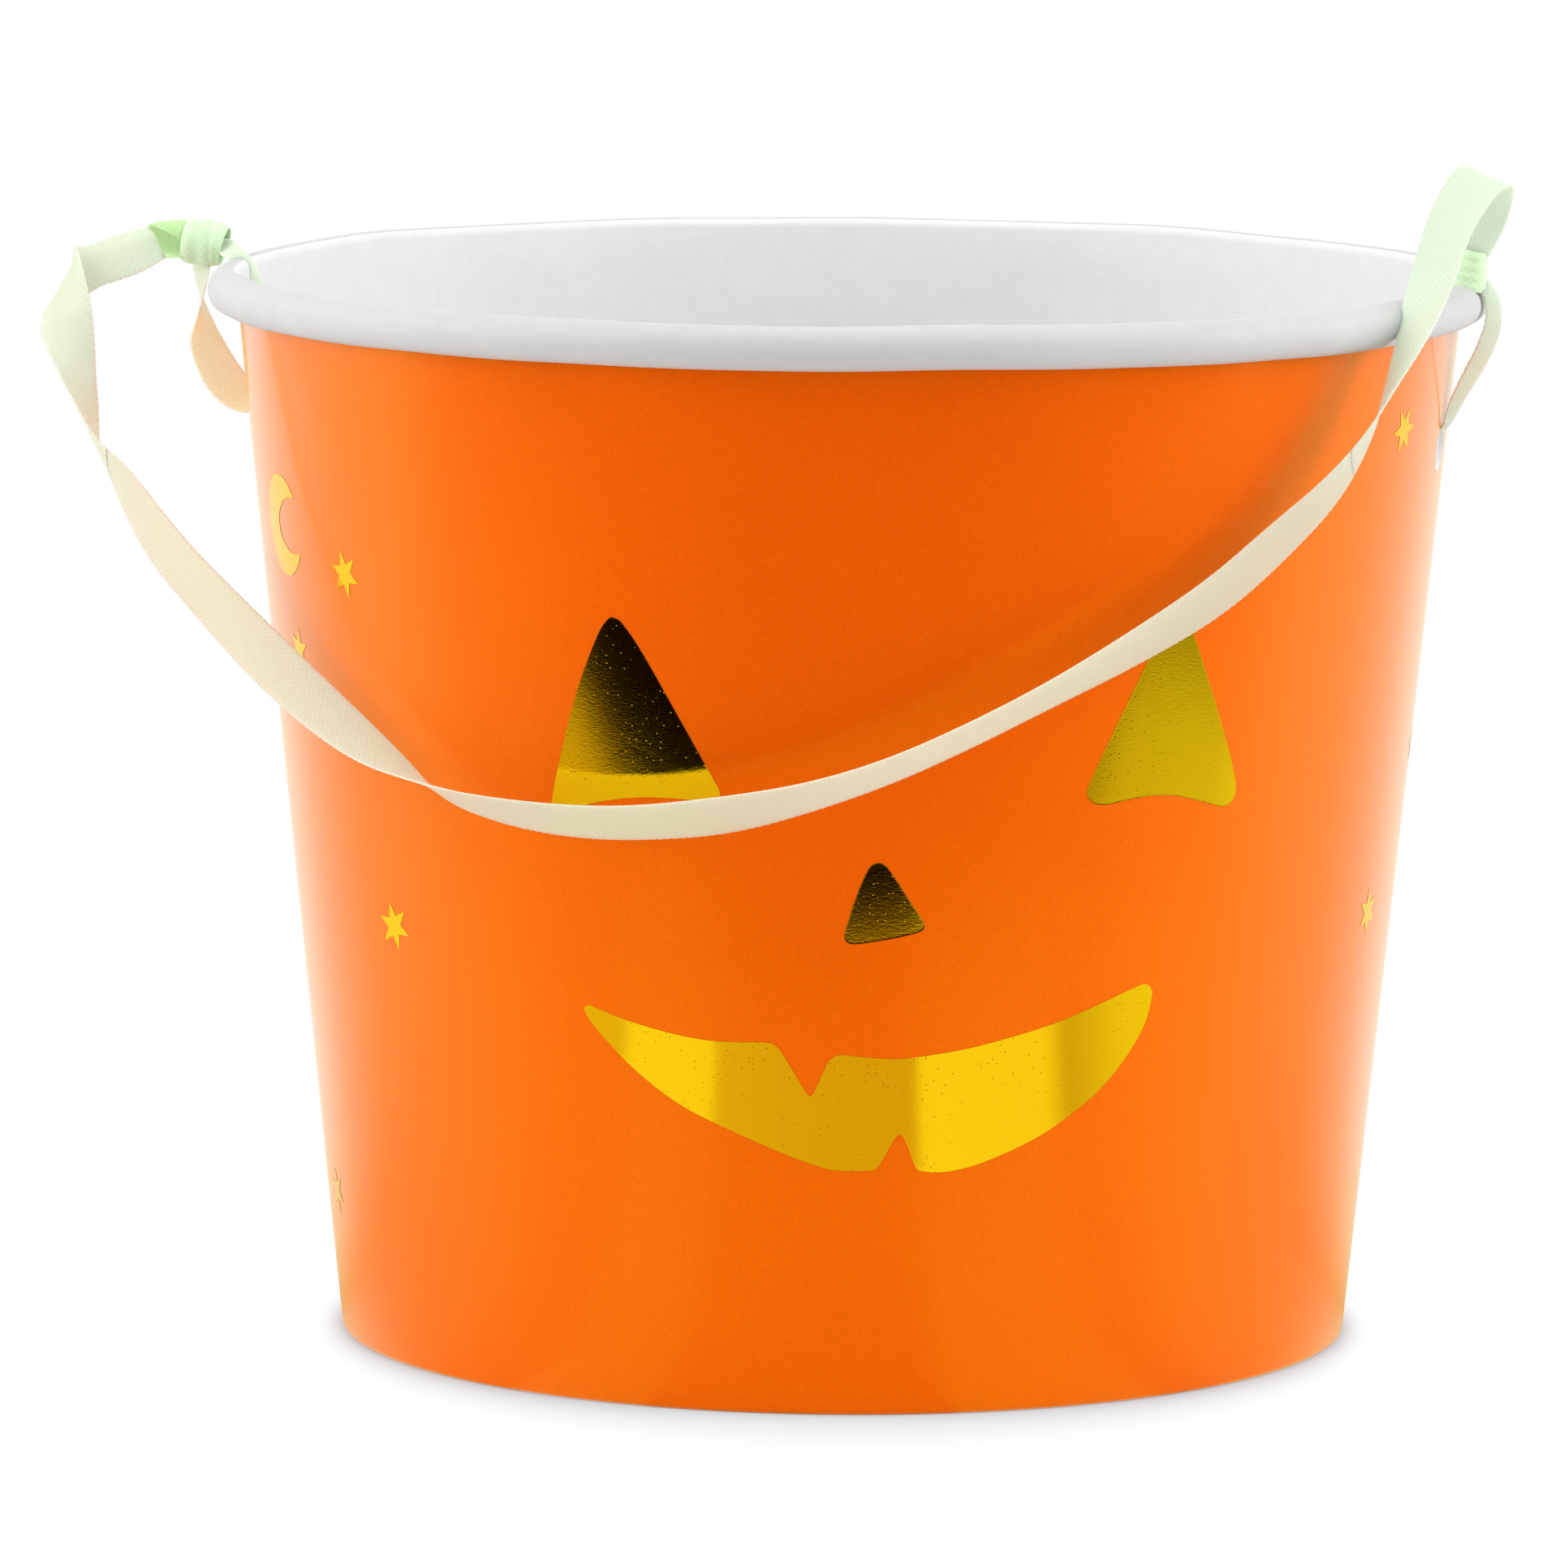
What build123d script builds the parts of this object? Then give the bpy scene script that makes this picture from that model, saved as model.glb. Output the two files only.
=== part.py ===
# Tapered paperboard treat pail: rolled rim, foil pumpkin face, ribbon handle tied through two holes.
from build123d import *

import os
from math import atan, cos, degrees, radians, sin, tan

# Pail, in millimetres. Origin on the table under the pail's axis, +X through the right punched hole.
HEIGHT = 150.0
RIM_DIAMETER = 180.0
BASE_DIAMETER = 142.0
BOARD = 0.6
ROLL_WIDTH = 4.6
ROLL_HEIGHT = 6.0
ROLL_GAP = 0.25
SEAM_LAP = 9.5
HOLE_DIAMETER = 6.4
HOLE_HEIGHT = 127.0
CUT_OVERRUN = 5.0

# Bottom disc, with its skirt gripped in the wall's folded hem.
BOTTOM_BOARD = 0.6
BOTTOM_RECESS = 8.5
BOTTOM_BEND_RADIUS = 1.5
HEM_HEIGHT = 7.0
HEM_FOLD_RADIUS = 0.5
GLUE_GAP = 0.06

# Foil prints. Azimuths are degrees from the front (-Y) towards +X.
FOIL = 0.1
FOIL_GAP = 0.15
FACE_AZIMUTH = 15.2
EYE_WIDTH = 22.0
EYE_HEIGHT = 29.0
EYE_BASE_HEIGHT = 83.0
EYE_ROUNDING = 1.9
LEFT_EYE_OFFSET = 33.5
RIGHT_EYE_OFFSET = 37.8
NOSE_WIDTH = 11.4
NOSE_HEIGHT = 12.4
NOSE_BASE_HEIGHT = 66.0
NOSE_ROUNDING = 1.0
MOUTH_WIDTH = 78.0
MOUTH_HEIGHT = 26.0
MOUTH_BASE_HEIGHT = 33.5
MOUTH_OFFSET = 1.3
MOUTH_ROUNDING = 0.6
STAR_SIZE = 7.2
STAR_TIPS = 6
MOON_HEIGHT = 14.5

# Ribbon: a narrow satin ribbon, its two knots on the line that the handle swings about.
RIBBON_WIDTH = 7.0
RIBBON = 0.35
KNOT_CLEARANCE = 0.3
LEFT_KNOT_DIAMETER = 6.0
LEFT_KNOT_LENGTH = 8.6
LEFT_KNOT_OVERHANG = 5.0
RIGHT_KNOT_DIAMETER = 4.2
RIGHT_KNOT_LENGTH = 4.4
RIGHT_KNOT_INSET = 1.4
KNOT_ROUNDING = 1.2

# Outlines as shares of each print's width and height, from its lower middle.
LEFT_EYE_SHARES = [(-0.16, 1.0), (0.50, 0.13), (-0.02, 0.07), (-0.50, 0.0), (-0.39, 0.55)]
RIGHT_EYE_SHARES = [(0.08, 1.0), (0.50, 0.0), (-0.03, 0.065), (-0.50, 0.05), (0.36, 0.55)]
NOSE_SHARES = [(-0.09, 1.0), (0.50, 0.19), (-0.02, -0.01), (-0.50, 0.0), (-0.28, 0.55)]
MOUTH_TIP_SHARES = {"left": (-0.50, 0.84), "right": (0.50, 0.99)}
UPPER_TOOTH_SHARES = [(-0.185, 0.71), (-0.105, 0.42), (-0.07, 0.645)]
LOWER_TOOTH_SHARES = [(0.075, 0.03), (0.048, 0.22), (0.01, 0.03)]
UPPER_LIP_SHARES = {"left": (-0.33, 0.725), "right": (0.20, 0.71)}
LOWER_LIP_SHARES = {"left": (-0.31, 0.33), "right": (0.36, 0.36)}
STAR_WAIST_SHARE = 0.46
MOON_BITE_SHARE = 0.40
MOON_BITE_RADIUS_SHARE = 0.43
ROLL_ARC_SHARE = 0.98

# Places of the small prints: azimuth and share of the pail's height.
STAR_PLACE_SHARES = [
    (-64.8, 0.142), (-58.0, 0.660), (-45.4, 0.744), (-41.8, 0.421), (75.5, 0.876),
    (80.9, 0.421), (96.2, 0.560), (112.0, 0.230), (128.0, 0.700), (148.0, 0.400),
    (163.0, 0.820), (-166.0, 0.560), (-150.0, 0.250), (-134.0, 0.780), (-116.0, 0.440),
]
MOON_PLACE_SHARES = [(-59.0, 0.776), (139.0, 0.180), (-158.0, 0.880)]

# Ribbon routes: point, direction towards the first edge, share of the full width.
HANDLE_ROUTE = [
    ((-100.0, -2.0, 151.5), (-0.1, 0.6, 0.8), 0.8),
    ((-103.5, -4.0, 150.0), (-0.3, 0.5, 0.8), 1.0),
    ((-107.0, -5.5, 149.0), (-0.45, 0.4, 0.8), 1.0),
    ((-109.5, -7.5, 148.0), (-0.15, -0.1, 1.0), 1.0),
    ((-110.6, -10.2, 147.5), (0.4, -0.3, 0.85), 1.0),
    ((-110.5, -13.0, 146.4), (0.85, -0.15, 0.5), 1.0),
    ((-109.9, -15.0, 144.0), (0.95, 0.3, 0.1), 1.0),
    ((-109.0, -17.5, 139.5), (0.95, 0.3, 0.1), 1.0),
    ((-107.5, -20.0, 134.5), (0.8, 0.55, 0.1), 1.0),
    ((-105.3, -23.3, 129.8), (0.4, 0.9, 0.1), 1.0),
    ((-102.5, -26.5, 125.0), (-0.2, 0.95, -0.3), 1.0),
    ((-97.5, -32.5, 119.5), (-0.7, 0.5, -0.5), 1.0),
    ((-90.0, -40.5, 112.5), (-0.8, 0.2, -0.6), 1.0),
    ((-81.0, -48.5, 106.5), (-0.7, 0.0, -0.7), 1.0),
    ((-70.0, -57.5, 100.0), (-0.6, -0.2, -0.75), 1.0),
    ((-60.0, -65.0, 94.0), (-0.4, -0.6, -0.7), 1.0),
    ((-50.5, -71.5, 89.0), (-0.25, -0.85, -0.4), 1.0),
    ((-41.5, -76.5, 85.5), (0.1, -1.0, 0.0), 1.0),
    ((-31.0, -80.5, 83.5), (0.2, -0.9, 0.4), 1.0),
    ((-19.5, -84.5, 82.5), (0.15, -0.8, 0.6), 1.0),
    ((-9.5, -86.5, 83.0), (0.15, -0.75, 0.65), 1.0),
    ((1.5, -88.0, 84.5), (0.15, -0.75, 0.65), 1.0),
    ((12.5, -87.5, 88.0), (0.15, -0.75, 0.6), 1.0),
    ((23.0, -85.5, 91.5), (0.05, -0.8, 0.6), 1.0),
    ((33.5, -82.0, 96.5), (0.0, -0.8, 0.6), 1.0),
    ((43.5, -77.5, 101.5), (-0.05, -0.8, 0.6), 1.0),
    ((53.5, -71.0, 107.0), (-0.1, -0.8, 0.55), 1.0),
    ((63.0, -63.5, 113.0), (-0.2, -0.8, 0.55), 1.0),
    ((70.5, -56.0, 119.5), (-0.25, -0.9, 0.4), 1.0),
    ((77.0, -50.0, 126.0), (-0.1, -0.95, 0.3), 1.0),
    ((81.5, -45.0, 133.0), (0.2, -1.0, 0.0), 1.0),
    ((84.0, -41.5, 139.5), (0.55, -0.8, -0.1), 1.0),
    ((86.0, -37.5, 145.5), (0.85, -0.5, -0.1), 1.0),
    ((87.5, -32.0, 152.0), (0.95, -0.25, -0.15), 1.0),
    ((88.5, -24.0, 159.5), (0.95, 0.1, -0.3), 1.0),
    ((89.5, -15.0, 164.0), (0.85, 0.35, -0.35), 1.0),
    ((90.0, -6.5, 165.5), (0.8, 0.45, -0.4), 1.0),
    ((91.5, -0.5, 162.5), (0.7, 0.65, -0.3), 0.95),
    ((91.0, 2.0, 158.5), (0.7, 0.7, 0.2), 0.8),
    ((89.0, 1.0, 155.2), (0.6, 0.7, 0.4), 0.5),
]
HANDLE_CUT_COUNTS = (10, 29)
LEFT_TIE_ROUTE = [
    ((-93.5, 0.0, 152.0), (0.0, 1.0, 0.0), 0.6),
    ((-88.5, 0.0, 152.3), (0.0, 1.0, 0.0), 0.7),
    ((-84.4, 0.0, 150.0), (0.0, 1.0, 0.0), 0.75),
    ((-83.2, 0.0, 144.0), (0.0, 1.0, 0.0), 0.8),
    ((-82.3, 0.0, 136.0), (0.0, 1.0, 0.0), 0.75),
    ((-82.0, 0.0, 128.6), (0.0, 1.0, 0.0), 0.55),
    ((-87.0, 0.0, 128.2), (0.1, 1.0, 0.0), 0.55),
    ((-91.5, 0.0, 132.5), (0.4, 0.8, 0.4), 0.8),
    ((-93.8, 0.0, 139.0), (0.5, 0.85, 0.2), 0.8),
    ((-94.3, 0.0, 145.0), (0.3, 0.95, 0.0), 0.7),
    ((-94.0, 0.0, 151.0), (0.3, 0.95, 0.0), 0.5),
]
RIGHT_TIE_ROUTE = [
    ((87.6, 0.0, 152.2), (0.0, 1.0, 0.0), 0.5),
    ((84.6, 0.0, 151.0), (0.0, 1.0, 0.0), 0.7),
    ((83.2, 0.0, 146.5), (0.0, 1.0, 0.0), 0.8),
    ((82.4, 0.0, 140.0), (0.0, 1.0, 0.0), 0.8),
    ((82.0, 0.0, 134.0), (0.0, 1.0, 0.0), 0.7),
    ((81.9, 0.0, 128.6), (0.0, 1.0, 0.0), 0.55),
    ((86.5, 0.0, 128.2), (0.0, 1.0, 0.0), 0.55),
    ((90.0, 0.0, 131.8), (-0.3, 0.85, 0.3), 0.75),
    ((92.6, 0.0, 137.5), (-0.45, 0.85, 0.2), 0.8),
    ((93.4, 0.0, 143.5), (-0.4, 0.9, 0.0), 0.7),
    ((92.5, 0.0, 149.0), (-0.2, 1.0, 0.0), 0.55),
    ((89.8, 0.0, 152.0), (0.0, 1.0, 0.2), 0.5),
]
ARC_RUN_SHARE = 0.45
SECTION_COUNT = 2

# Worked out from the sizes above.
RIM_RADIUS = RIM_DIAMETER / 2
BASE_RADIUS = BASE_DIAMETER / 2
ROLL_UNDERSIDE = HEIGHT - ROLL_HEIGHT
WALL_SLOPE = (RIM_RADIUS - ROLL_WIDTH + BOARD - BASE_RADIUS) / (HEIGHT - ROLL_HEIGHT / 2)
WALL_LEAN = atan(WALL_SLOPE)
SWING_HEIGHT = HEIGHT + KNOT_CLEARANCE + RIGHT_KNOT_DIAMETER / 2
LEFT_KNOT_REACH = RIM_RADIUS + LEFT_KNOT_OVERHANG
RIGHT_KNOT_REACH = RIM_RADIUS - RIGHT_KNOT_INSET
PARTS = "parts"


def wall_radius(height, inward=0):
    """Radius of the printed face at a height, or of a line that far inside it, square to the wall."""
    return BASE_RADIUS + WALL_SLOPE * height - inward / cos(WALL_LEAN)


def write_piece(piece, name):
    """Label a finished piece and write it under the same name."""
    piece.part.label = name
    export_step(piece.part, f"{PARTS}/{name}.step")


def board_ring(points, radius, board):
    """Turn a bent strip of board, given by the middle of its thickness, about the pail's axis."""
    with BuildSketch(Plane.XZ) as strip:
        with BuildLine():
            FilletPolyline(*points, radius=radius)
        trace(line_width=board)
    revolve(strip.sketch, axis=Axis.Z)


def upright_plane(azimuth, radius=0, height=0):
    """Plane facing straight out of the pail at an azimuth, its x to the right as seen from outside."""
    turn = radians(azimuth)
    outward = Vector(sin(turn), -cos(turn), 0)
    return Plane(outward * radius + Vector(0, 0, height), x_dir=(cos(turn), sin(turn), 0), z_dir=outward)


def keep_foil_skin():
    """Keep only the thin foil layer that lies on the printed face."""
    inner = -FOIL_GAP
    outer = inner - FOIL
    with BuildSketch(Plane.XZ) as skin:
        with BuildLine():
            Polyline(
                (wall_radius(0, inner), 0),
                (wall_radius(0, outer), 0),
                (wall_radius(ROLL_UNDERSIDE, outer), ROLL_UNDERSIDE),
                (wall_radius(ROLL_UNDERSIDE, inner), ROLL_UNDERSIDE),
                close=True,
            )
        make_face()
    revolve(skin.sketch, axis=Axis.Z, mode=Mode.INTERSECT)


def scaled(share, width, height, offset, base):
    """A point of an outline from its shares."""
    return (offset + share[0] * width, base + share[1] * height)


def triangle_foil(shares, width, height, offset, base, rounding):
    """Rounded triangle with a bowed base and one bowed side: apex, corner, base, corner, side."""
    apex, corner, base_middle, far_corner, side_middle = (
        scaled(share, width, height, offset, base) for share in shares
    )
    right_side_bows = side_middle[0] > offset + shares[0][0] * width
    with BuildSketch(upright_plane(FACE_AZIMUTH)) as outline:
        with BuildLine():
            if right_side_bows:
                ThreePointArc(apex, side_middle, corner)
                Line(far_corner, apex)
            else:
                Line(apex, corner)
                ThreePointArc(far_corner, side_middle, apex)
            ThreePointArc(corner, base_middle, far_corner)
        make_face()
        fillet(outline.vertices(), radius=rounding)
    extrude(outline.sketch, amount=RIM_RADIUS)
    keep_foil_skin()


def mouth_point(share):
    """A point of the mouth's outline from its shares."""
    return scaled(share, MOUTH_WIDTH, MOUTH_HEIGHT, -MOUTH_OFFSET, MOUTH_BASE_HEIGHT)


def star_points():
    """Corners of a star, tips and waists in turn."""
    corners = []
    for corner in range(2 * STAR_TIPS):
        reach = STAR_SIZE / 2 * (STAR_WAIST_SHARE if corner % 2 else 1)
        turn = radians(180 / STAR_TIPS * corner + 90)
        corners.append((reach * cos(turn), reach * sin(turn)))
    return corners


def arc_radii(points):
    """Radius of each corner's arc, as large as its two runs allow."""
    radii = []
    for before, corner, after in zip(points, points[1:], points[2:]):
        turn = (corner - before).get_angle(after - corner)
        shorter = min((corner - before).length, (after - corner).length)
        radii.append(ARC_RUN_SHARE * shorter / tan(radians(turn) / 2))
    return radii


def ribbon_sections(route):
    """Sections across a ribbon as (plane, width), evenly between the middles of its runs and arcs."""
    points = [Vector(*point) for point, _, _ in route]
    directions = [Vector(*direction).normalized() for _, direction, _ in route]
    widths = [RIBBON_WIDTH * share for _, _, share in route]
    radii = arc_radii(points)
    path = FilletPolyline(*points, radius=radii, mode=Mode.PRIVATE)
    runs = path.edges().filter_by(GeomType.LINE)
    arcs = path.edges().filter_by(GeomType.CIRCLE)

    travelled = 0
    keys = [(travelled, directions[0], widths[0])]
    for index, run in enumerate(runs):
        direction = directions[index] + directions[index + 1]
        keys.append((travelled + run.length / 2, direction, (widths[index] + widths[index + 1]) / 2))
        travelled += run.length
        if index < len(arcs):
            keys.append((travelled + arcs[index].length / 2, directions[index + 1], widths[index + 1]))
            travelled += arcs[index].length
    keys.append((travelled, directions[-1], widths[-1]))

    sections = []
    for near, far in zip(keys, keys[1:]):
        for step in range(SECTION_COUNT):
            sections.append(section_between(path, near, far, step / SECTION_COUNT))
    sections.append(section_between(path, keys[-2], keys[-1], 1))
    print(f"ribbon of {path.length:.1f} mm, arc radii", " ".join(f"{radius:.0f}" for radius in radii))
    return sections


def section_between(path, near, far, share):
    """Plane square to the path and the ribbon's width there, a share of the way between two keys."""
    place = (near[0] + (far[0] - near[0]) * share) / path.length
    along = path % place
    direction = near[1].normalized() * (1 - share) + far[1].normalized() * share
    across = direction - along * direction.dot(along)
    width = near[2] + (far[2] - near[2]) * share
    return Plane(path @ place, x_dir=across, z_dir=along), width


def ribbon_solid(sections):
    """Thin ribbon ruled from section to section."""
    outlines = []
    for plane, width in sections:
        with BuildSketch(plane) as outline:
            Rectangle(width, RIBBON)
        outlines.append(outline.sketch)
    loft(outlines, ruled=True)


def report_ribbon(piece, sections):
    """Print the solid's volume beside its section times its length."""
    expected = 0
    for (near, near_width), (far, far_width) in zip(sections, sections[1:]):
        expected += (far.origin - near.origin).length * (near_width + far_width) / 2 * RIBBON
    print(f"{piece.part.label}: volume {piece.part.volume:.1f}, section times length {expected:.1f}")


def knot(diameter, length, reach, side):
    """Round knot on the swing line, its length along X."""
    with BuildSketch(Plane.YZ.offset(side * reach - length / 2)) as end:
        with Locations((0, SWING_HEIGHT)):
            Circle(diameter / 2)
    extrude(end.sketch, amount=length)
    fillet(edges().filter_by(GeomType.CIRCLE), radius=KNOT_ROUNDING)


os.makedirs(PARTS, exist_ok=True)

# Sidewall: one board, hem folded inwards, wall, rim rolled outwards, lapped seam at the back.
hem_width = 2 * BOARD + BOTTOM_BOARD + 2 * GLUE_GAP
wall_inset = BOARD / 2
hem_inset = hem_width - BOARD / 2
roll_outer = RIM_RADIUS - BOARD / 2
roll_top = HEIGHT - BOARD / 2
roll_low = ROLL_UNDERSIDE + BOARD / 2
roll_crown = roll_outer - wall_radius(roll_top, wall_inset)
roll_radius = ROLL_ARC_SHARE * roll_crown / (1 + tan((radians(90) - WALL_LEAN) / 2))
with BuildPart() as sidewall:
    board_ring(
        [
            (wall_radius(HEM_HEIGHT, hem_inset), HEM_HEIGHT),
            (wall_radius(BOARD / 2, hem_inset), BOARD / 2),
            (wall_radius(BOARD / 2, wall_inset), BOARD / 2),
            (wall_radius(roll_top, wall_inset), roll_top),
            (roll_outer, roll_top),
            (roll_outer, roll_low),
            (wall_radius(roll_low, -ROLL_GAP), roll_low),
        ],
        radius=[HEM_FOLD_RADIUS, HEM_FOLD_RADIUS, roll_radius, roll_radius, roll_radius],
        board=BOARD,
    )
    seam_foot = HEM_FOLD_RADIUS + BOARD
    seam_head = ROLL_UNDERSIDE - ROLL_GAP
    seam_arc = degrees(SEAM_LAP / wall_radius(HEIGHT / 2))
    with BuildSketch(Plane.XZ.rotated((0, 0, 90 - seam_arc / 2))):
        with BuildLine():
            Polyline(
                (wall_radius(seam_foot, BOARD / 2), seam_foot),
                (wall_radius(seam_foot, -BOARD), seam_foot),
                (wall_radius(seam_head, -BOARD), seam_head),
                (wall_radius(seam_head, BOARD / 2), seam_head),
                close=True,
            )
        make_face()
    revolve(axis=Axis.Z, revolution_arc=seam_arc)
    with BuildSketch(Plane.YZ):
        with Locations((0, HOLE_HEIGHT)):
            Circle(HOLE_DIAMETER / 2)
    extrude(amount=RIM_RADIUS + CUT_OVERRUN, both=True, mode=Mode.SUBTRACT)
write_piece(sidewall, "sidewall")

# Bottom: a disc with its edge turned down into the hem.
skirt_inset = BOARD + GLUE_GAP + BOTTOM_BOARD / 2
disc_middle = BOTTOM_RECESS + BOTTOM_BOARD / 2
skirt_foot = BOARD + HEM_FOLD_RADIUS
with BuildPart() as bottom_disc:
    board_ring(
        [
            (0, disc_middle),
            (wall_radius(disc_middle, skirt_inset), disc_middle),
            (wall_radius(skirt_foot, skirt_inset), skirt_foot),
        ],
        radius=BOTTOM_BEND_RADIUS,
        board=BOTTOM_BOARD,
    )
write_piece(bottom_disc, "bottom_disc")

# Face: two eyes, a nose and a mouth with one tooth above and one below.
with BuildPart() as left_eye_foil:
    triangle_foil(LEFT_EYE_SHARES, EYE_WIDTH, EYE_HEIGHT, -LEFT_EYE_OFFSET, EYE_BASE_HEIGHT, EYE_ROUNDING)
write_piece(left_eye_foil, "left_eye_foil")

with BuildPart() as right_eye_foil:
    triangle_foil(RIGHT_EYE_SHARES, EYE_WIDTH, EYE_HEIGHT, RIGHT_EYE_OFFSET, EYE_BASE_HEIGHT, EYE_ROUNDING)
write_piece(right_eye_foil, "right_eye_foil")

with BuildPart() as nose_foil:
    triangle_foil(NOSE_SHARES, NOSE_WIDTH, NOSE_HEIGHT, 0, NOSE_BASE_HEIGHT, NOSE_ROUNDING)
write_piece(nose_foil, "nose_foil")

left_tip = mouth_point(MOUTH_TIP_SHARES["left"])
right_tip = mouth_point(MOUTH_TIP_SHARES["right"])
upper_tooth = [mouth_point(share) for share in UPPER_TOOTH_SHARES]
lower_tooth = [mouth_point(share) for share in LOWER_TOOTH_SHARES]
with BuildPart() as mouth_foil:
    with BuildSketch(upright_plane(FACE_AZIMUTH)) as mouth:
        with BuildLine():
            ThreePointArc(left_tip, mouth_point(UPPER_LIP_SHARES["left"]), upper_tooth[0])
            Polyline(*upper_tooth)
            ThreePointArc(upper_tooth[-1], mouth_point(UPPER_LIP_SHARES["right"]), right_tip)
            ThreePointArc(right_tip, mouth_point(LOWER_LIP_SHARES["right"]), lower_tooth[0])
            Polyline(*lower_tooth)
            ThreePointArc(lower_tooth[-1], mouth_point(LOWER_LIP_SHARES["left"]), left_tip)
        make_face()
        fillet(mouth.vertices(), radius=MOUTH_ROUNDING)
    extrude(amount=RIM_RADIUS)
    keep_foil_skin()
write_piece(mouth_foil, "mouth_foil")

# Small prints round the pail, each group in one piece.
with BuildPart() as star_foils:
    for azimuth, height_share in STAR_PLACE_SHARES:
        star_height = height_share * HEIGHT
        with BuildSketch(upright_plane(azimuth, wall_radius(star_height, BOARD), star_height)):
            Polygon(*star_points(), align=None)
        extrude(amount=BOARD + STAR_SIZE)
    keep_foil_skin()
write_piece(star_foils, "star_foils")

moon_radius = MOON_HEIGHT / 2
with BuildPart() as moon_foils:
    for azimuth, height_share in MOON_PLACE_SHARES:
        moon_height = height_share * HEIGHT
        moon_start = wall_radius(moon_height - moon_radius, moon_radius)
        with BuildSketch(upright_plane(azimuth, moon_start, moon_height)):
            Circle(moon_radius)
            with Locations((MOON_BITE_SHARE * MOON_HEIGHT, 0)):
                Circle(MOON_BITE_RADIUS_SHARE * MOON_HEIGHT, mode=Mode.SUBTRACT)
        extrude(amount=2 * MOON_HEIGHT)
    keep_foil_skin()
write_piece(moon_foils, "moon_foils")

# Ties: the ribbon goes over the rim, down inside, out through the hole and back up to its knot.
left_tie_sections = ribbon_sections(LEFT_TIE_ROUTE)
with BuildPart() as left_tie_loop:
    ribbon_solid(left_tie_sections)
write_piece(left_tie_loop, "left_tie_loop")
report_ribbon(left_tie_loop, left_tie_sections)

right_tie_sections = ribbon_sections(RIGHT_TIE_ROUTE)
with BuildPart() as right_tie_loop:
    ribbon_solid(right_tie_sections)
write_piece(right_tie_loop, "right_tie_loop")
report_ribbon(right_tie_loop, right_tie_sections)

with BuildPart() as left_knot:
    knot(LEFT_KNOT_DIAMETER, LEFT_KNOT_LENGTH, LEFT_KNOT_REACH, side=-1)
write_piece(left_knot, "left_knot")

with BuildPart() as right_knot:
    knot(RIGHT_KNOT_DIAMETER, RIGHT_KNOT_LENGTH, RIGHT_KNOT_REACH, side=1)
write_piece(right_knot, "right_knot")

# Handle: one ribbon from knot to knot, parted in the middle of two runs so that its slack ends can bend.
handle_sections = ribbon_sections(HANDLE_ROUTE)
left_cut, right_cut = (SECTION_COUNT * (2 * run + 1) for run in HANDLE_CUT_COUNTS)
with BuildPart() as left_ribbon_end:
    ribbon_solid(handle_sections[: left_cut + 1])
write_piece(left_ribbon_end, "left_ribbon_end")
report_ribbon(left_ribbon_end, handle_sections[: left_cut + 1])

with BuildPart() as handle_ribbon:
    ribbon_solid(handle_sections[left_cut : right_cut + 1])
write_piece(handle_ribbon, "handle_ribbon")
report_ribbon(handle_ribbon, handle_sections[left_cut : right_cut + 1])

with BuildPart() as right_ribbon_end:
    ribbon_solid(handle_sections[right_cut:])
write_piece(right_ribbon_end, "right_ribbon_end")
report_ribbon(right_ribbon_end, handle_sections[right_cut:])
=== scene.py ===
"""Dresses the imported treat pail: board wall, foil prints, satin ribbon handle and a white studio."""

import bmesh
import bpy
import numpy as np
from bpy.props import FloatProperty, FloatVectorProperty, PointerProperty
from mathutils import Matrix, Vector


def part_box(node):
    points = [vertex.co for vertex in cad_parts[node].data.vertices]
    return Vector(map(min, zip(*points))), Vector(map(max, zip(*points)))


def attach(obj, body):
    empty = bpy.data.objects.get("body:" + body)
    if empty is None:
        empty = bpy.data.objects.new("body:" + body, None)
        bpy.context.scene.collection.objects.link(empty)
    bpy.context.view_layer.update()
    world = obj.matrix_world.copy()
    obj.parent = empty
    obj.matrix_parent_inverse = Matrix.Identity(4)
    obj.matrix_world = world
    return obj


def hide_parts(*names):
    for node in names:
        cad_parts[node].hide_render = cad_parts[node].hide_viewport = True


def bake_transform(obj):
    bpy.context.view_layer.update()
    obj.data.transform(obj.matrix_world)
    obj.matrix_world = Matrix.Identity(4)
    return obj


bl_info = {
    "name": "Treat Pail",
    "version": (1, 0, 0),
    "blender": (4, 5, 0),
    "location": "3D View > Sidebar > Treat Pail",
    "description": "Builds a paperboard treat pail with foil prints and a ribbon handle",
    "category": "Add Mesh",
}

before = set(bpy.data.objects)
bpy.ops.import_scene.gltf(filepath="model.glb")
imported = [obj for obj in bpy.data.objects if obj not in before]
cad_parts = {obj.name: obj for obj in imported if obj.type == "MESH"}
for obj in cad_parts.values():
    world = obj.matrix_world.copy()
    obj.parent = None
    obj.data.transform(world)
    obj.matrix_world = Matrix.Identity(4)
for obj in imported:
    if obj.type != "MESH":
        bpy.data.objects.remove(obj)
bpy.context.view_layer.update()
MM = 0.001

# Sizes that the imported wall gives.
RIM_RADIUS, _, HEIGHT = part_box("sidewall")[1]

# Sizes of the wall, in metres.
BASE_RADIUS = 71.0 * MM
BOARD = 0.6 * MM
ROLL_WIDTH = 4.6 * MM
ROLL_HEIGHT = 6.0 * MM
HOLE_RADIUS = 3.2 * MM
HOLE_HEIGHT = 127.0 * MM
SEAM_LAP = 9.5 * MM
HEM_WIDTH = 1.92 * MM
HEM_HEIGHT = 7.0 * MM
SLOPE = (RIM_RADIUS - ROLL_WIDTH + BOARD - BASE_RADIUS) / (HEIGHT - ROLL_HEIGHT / 2)
LEAN = np.arctan(SLOPE)
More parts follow.
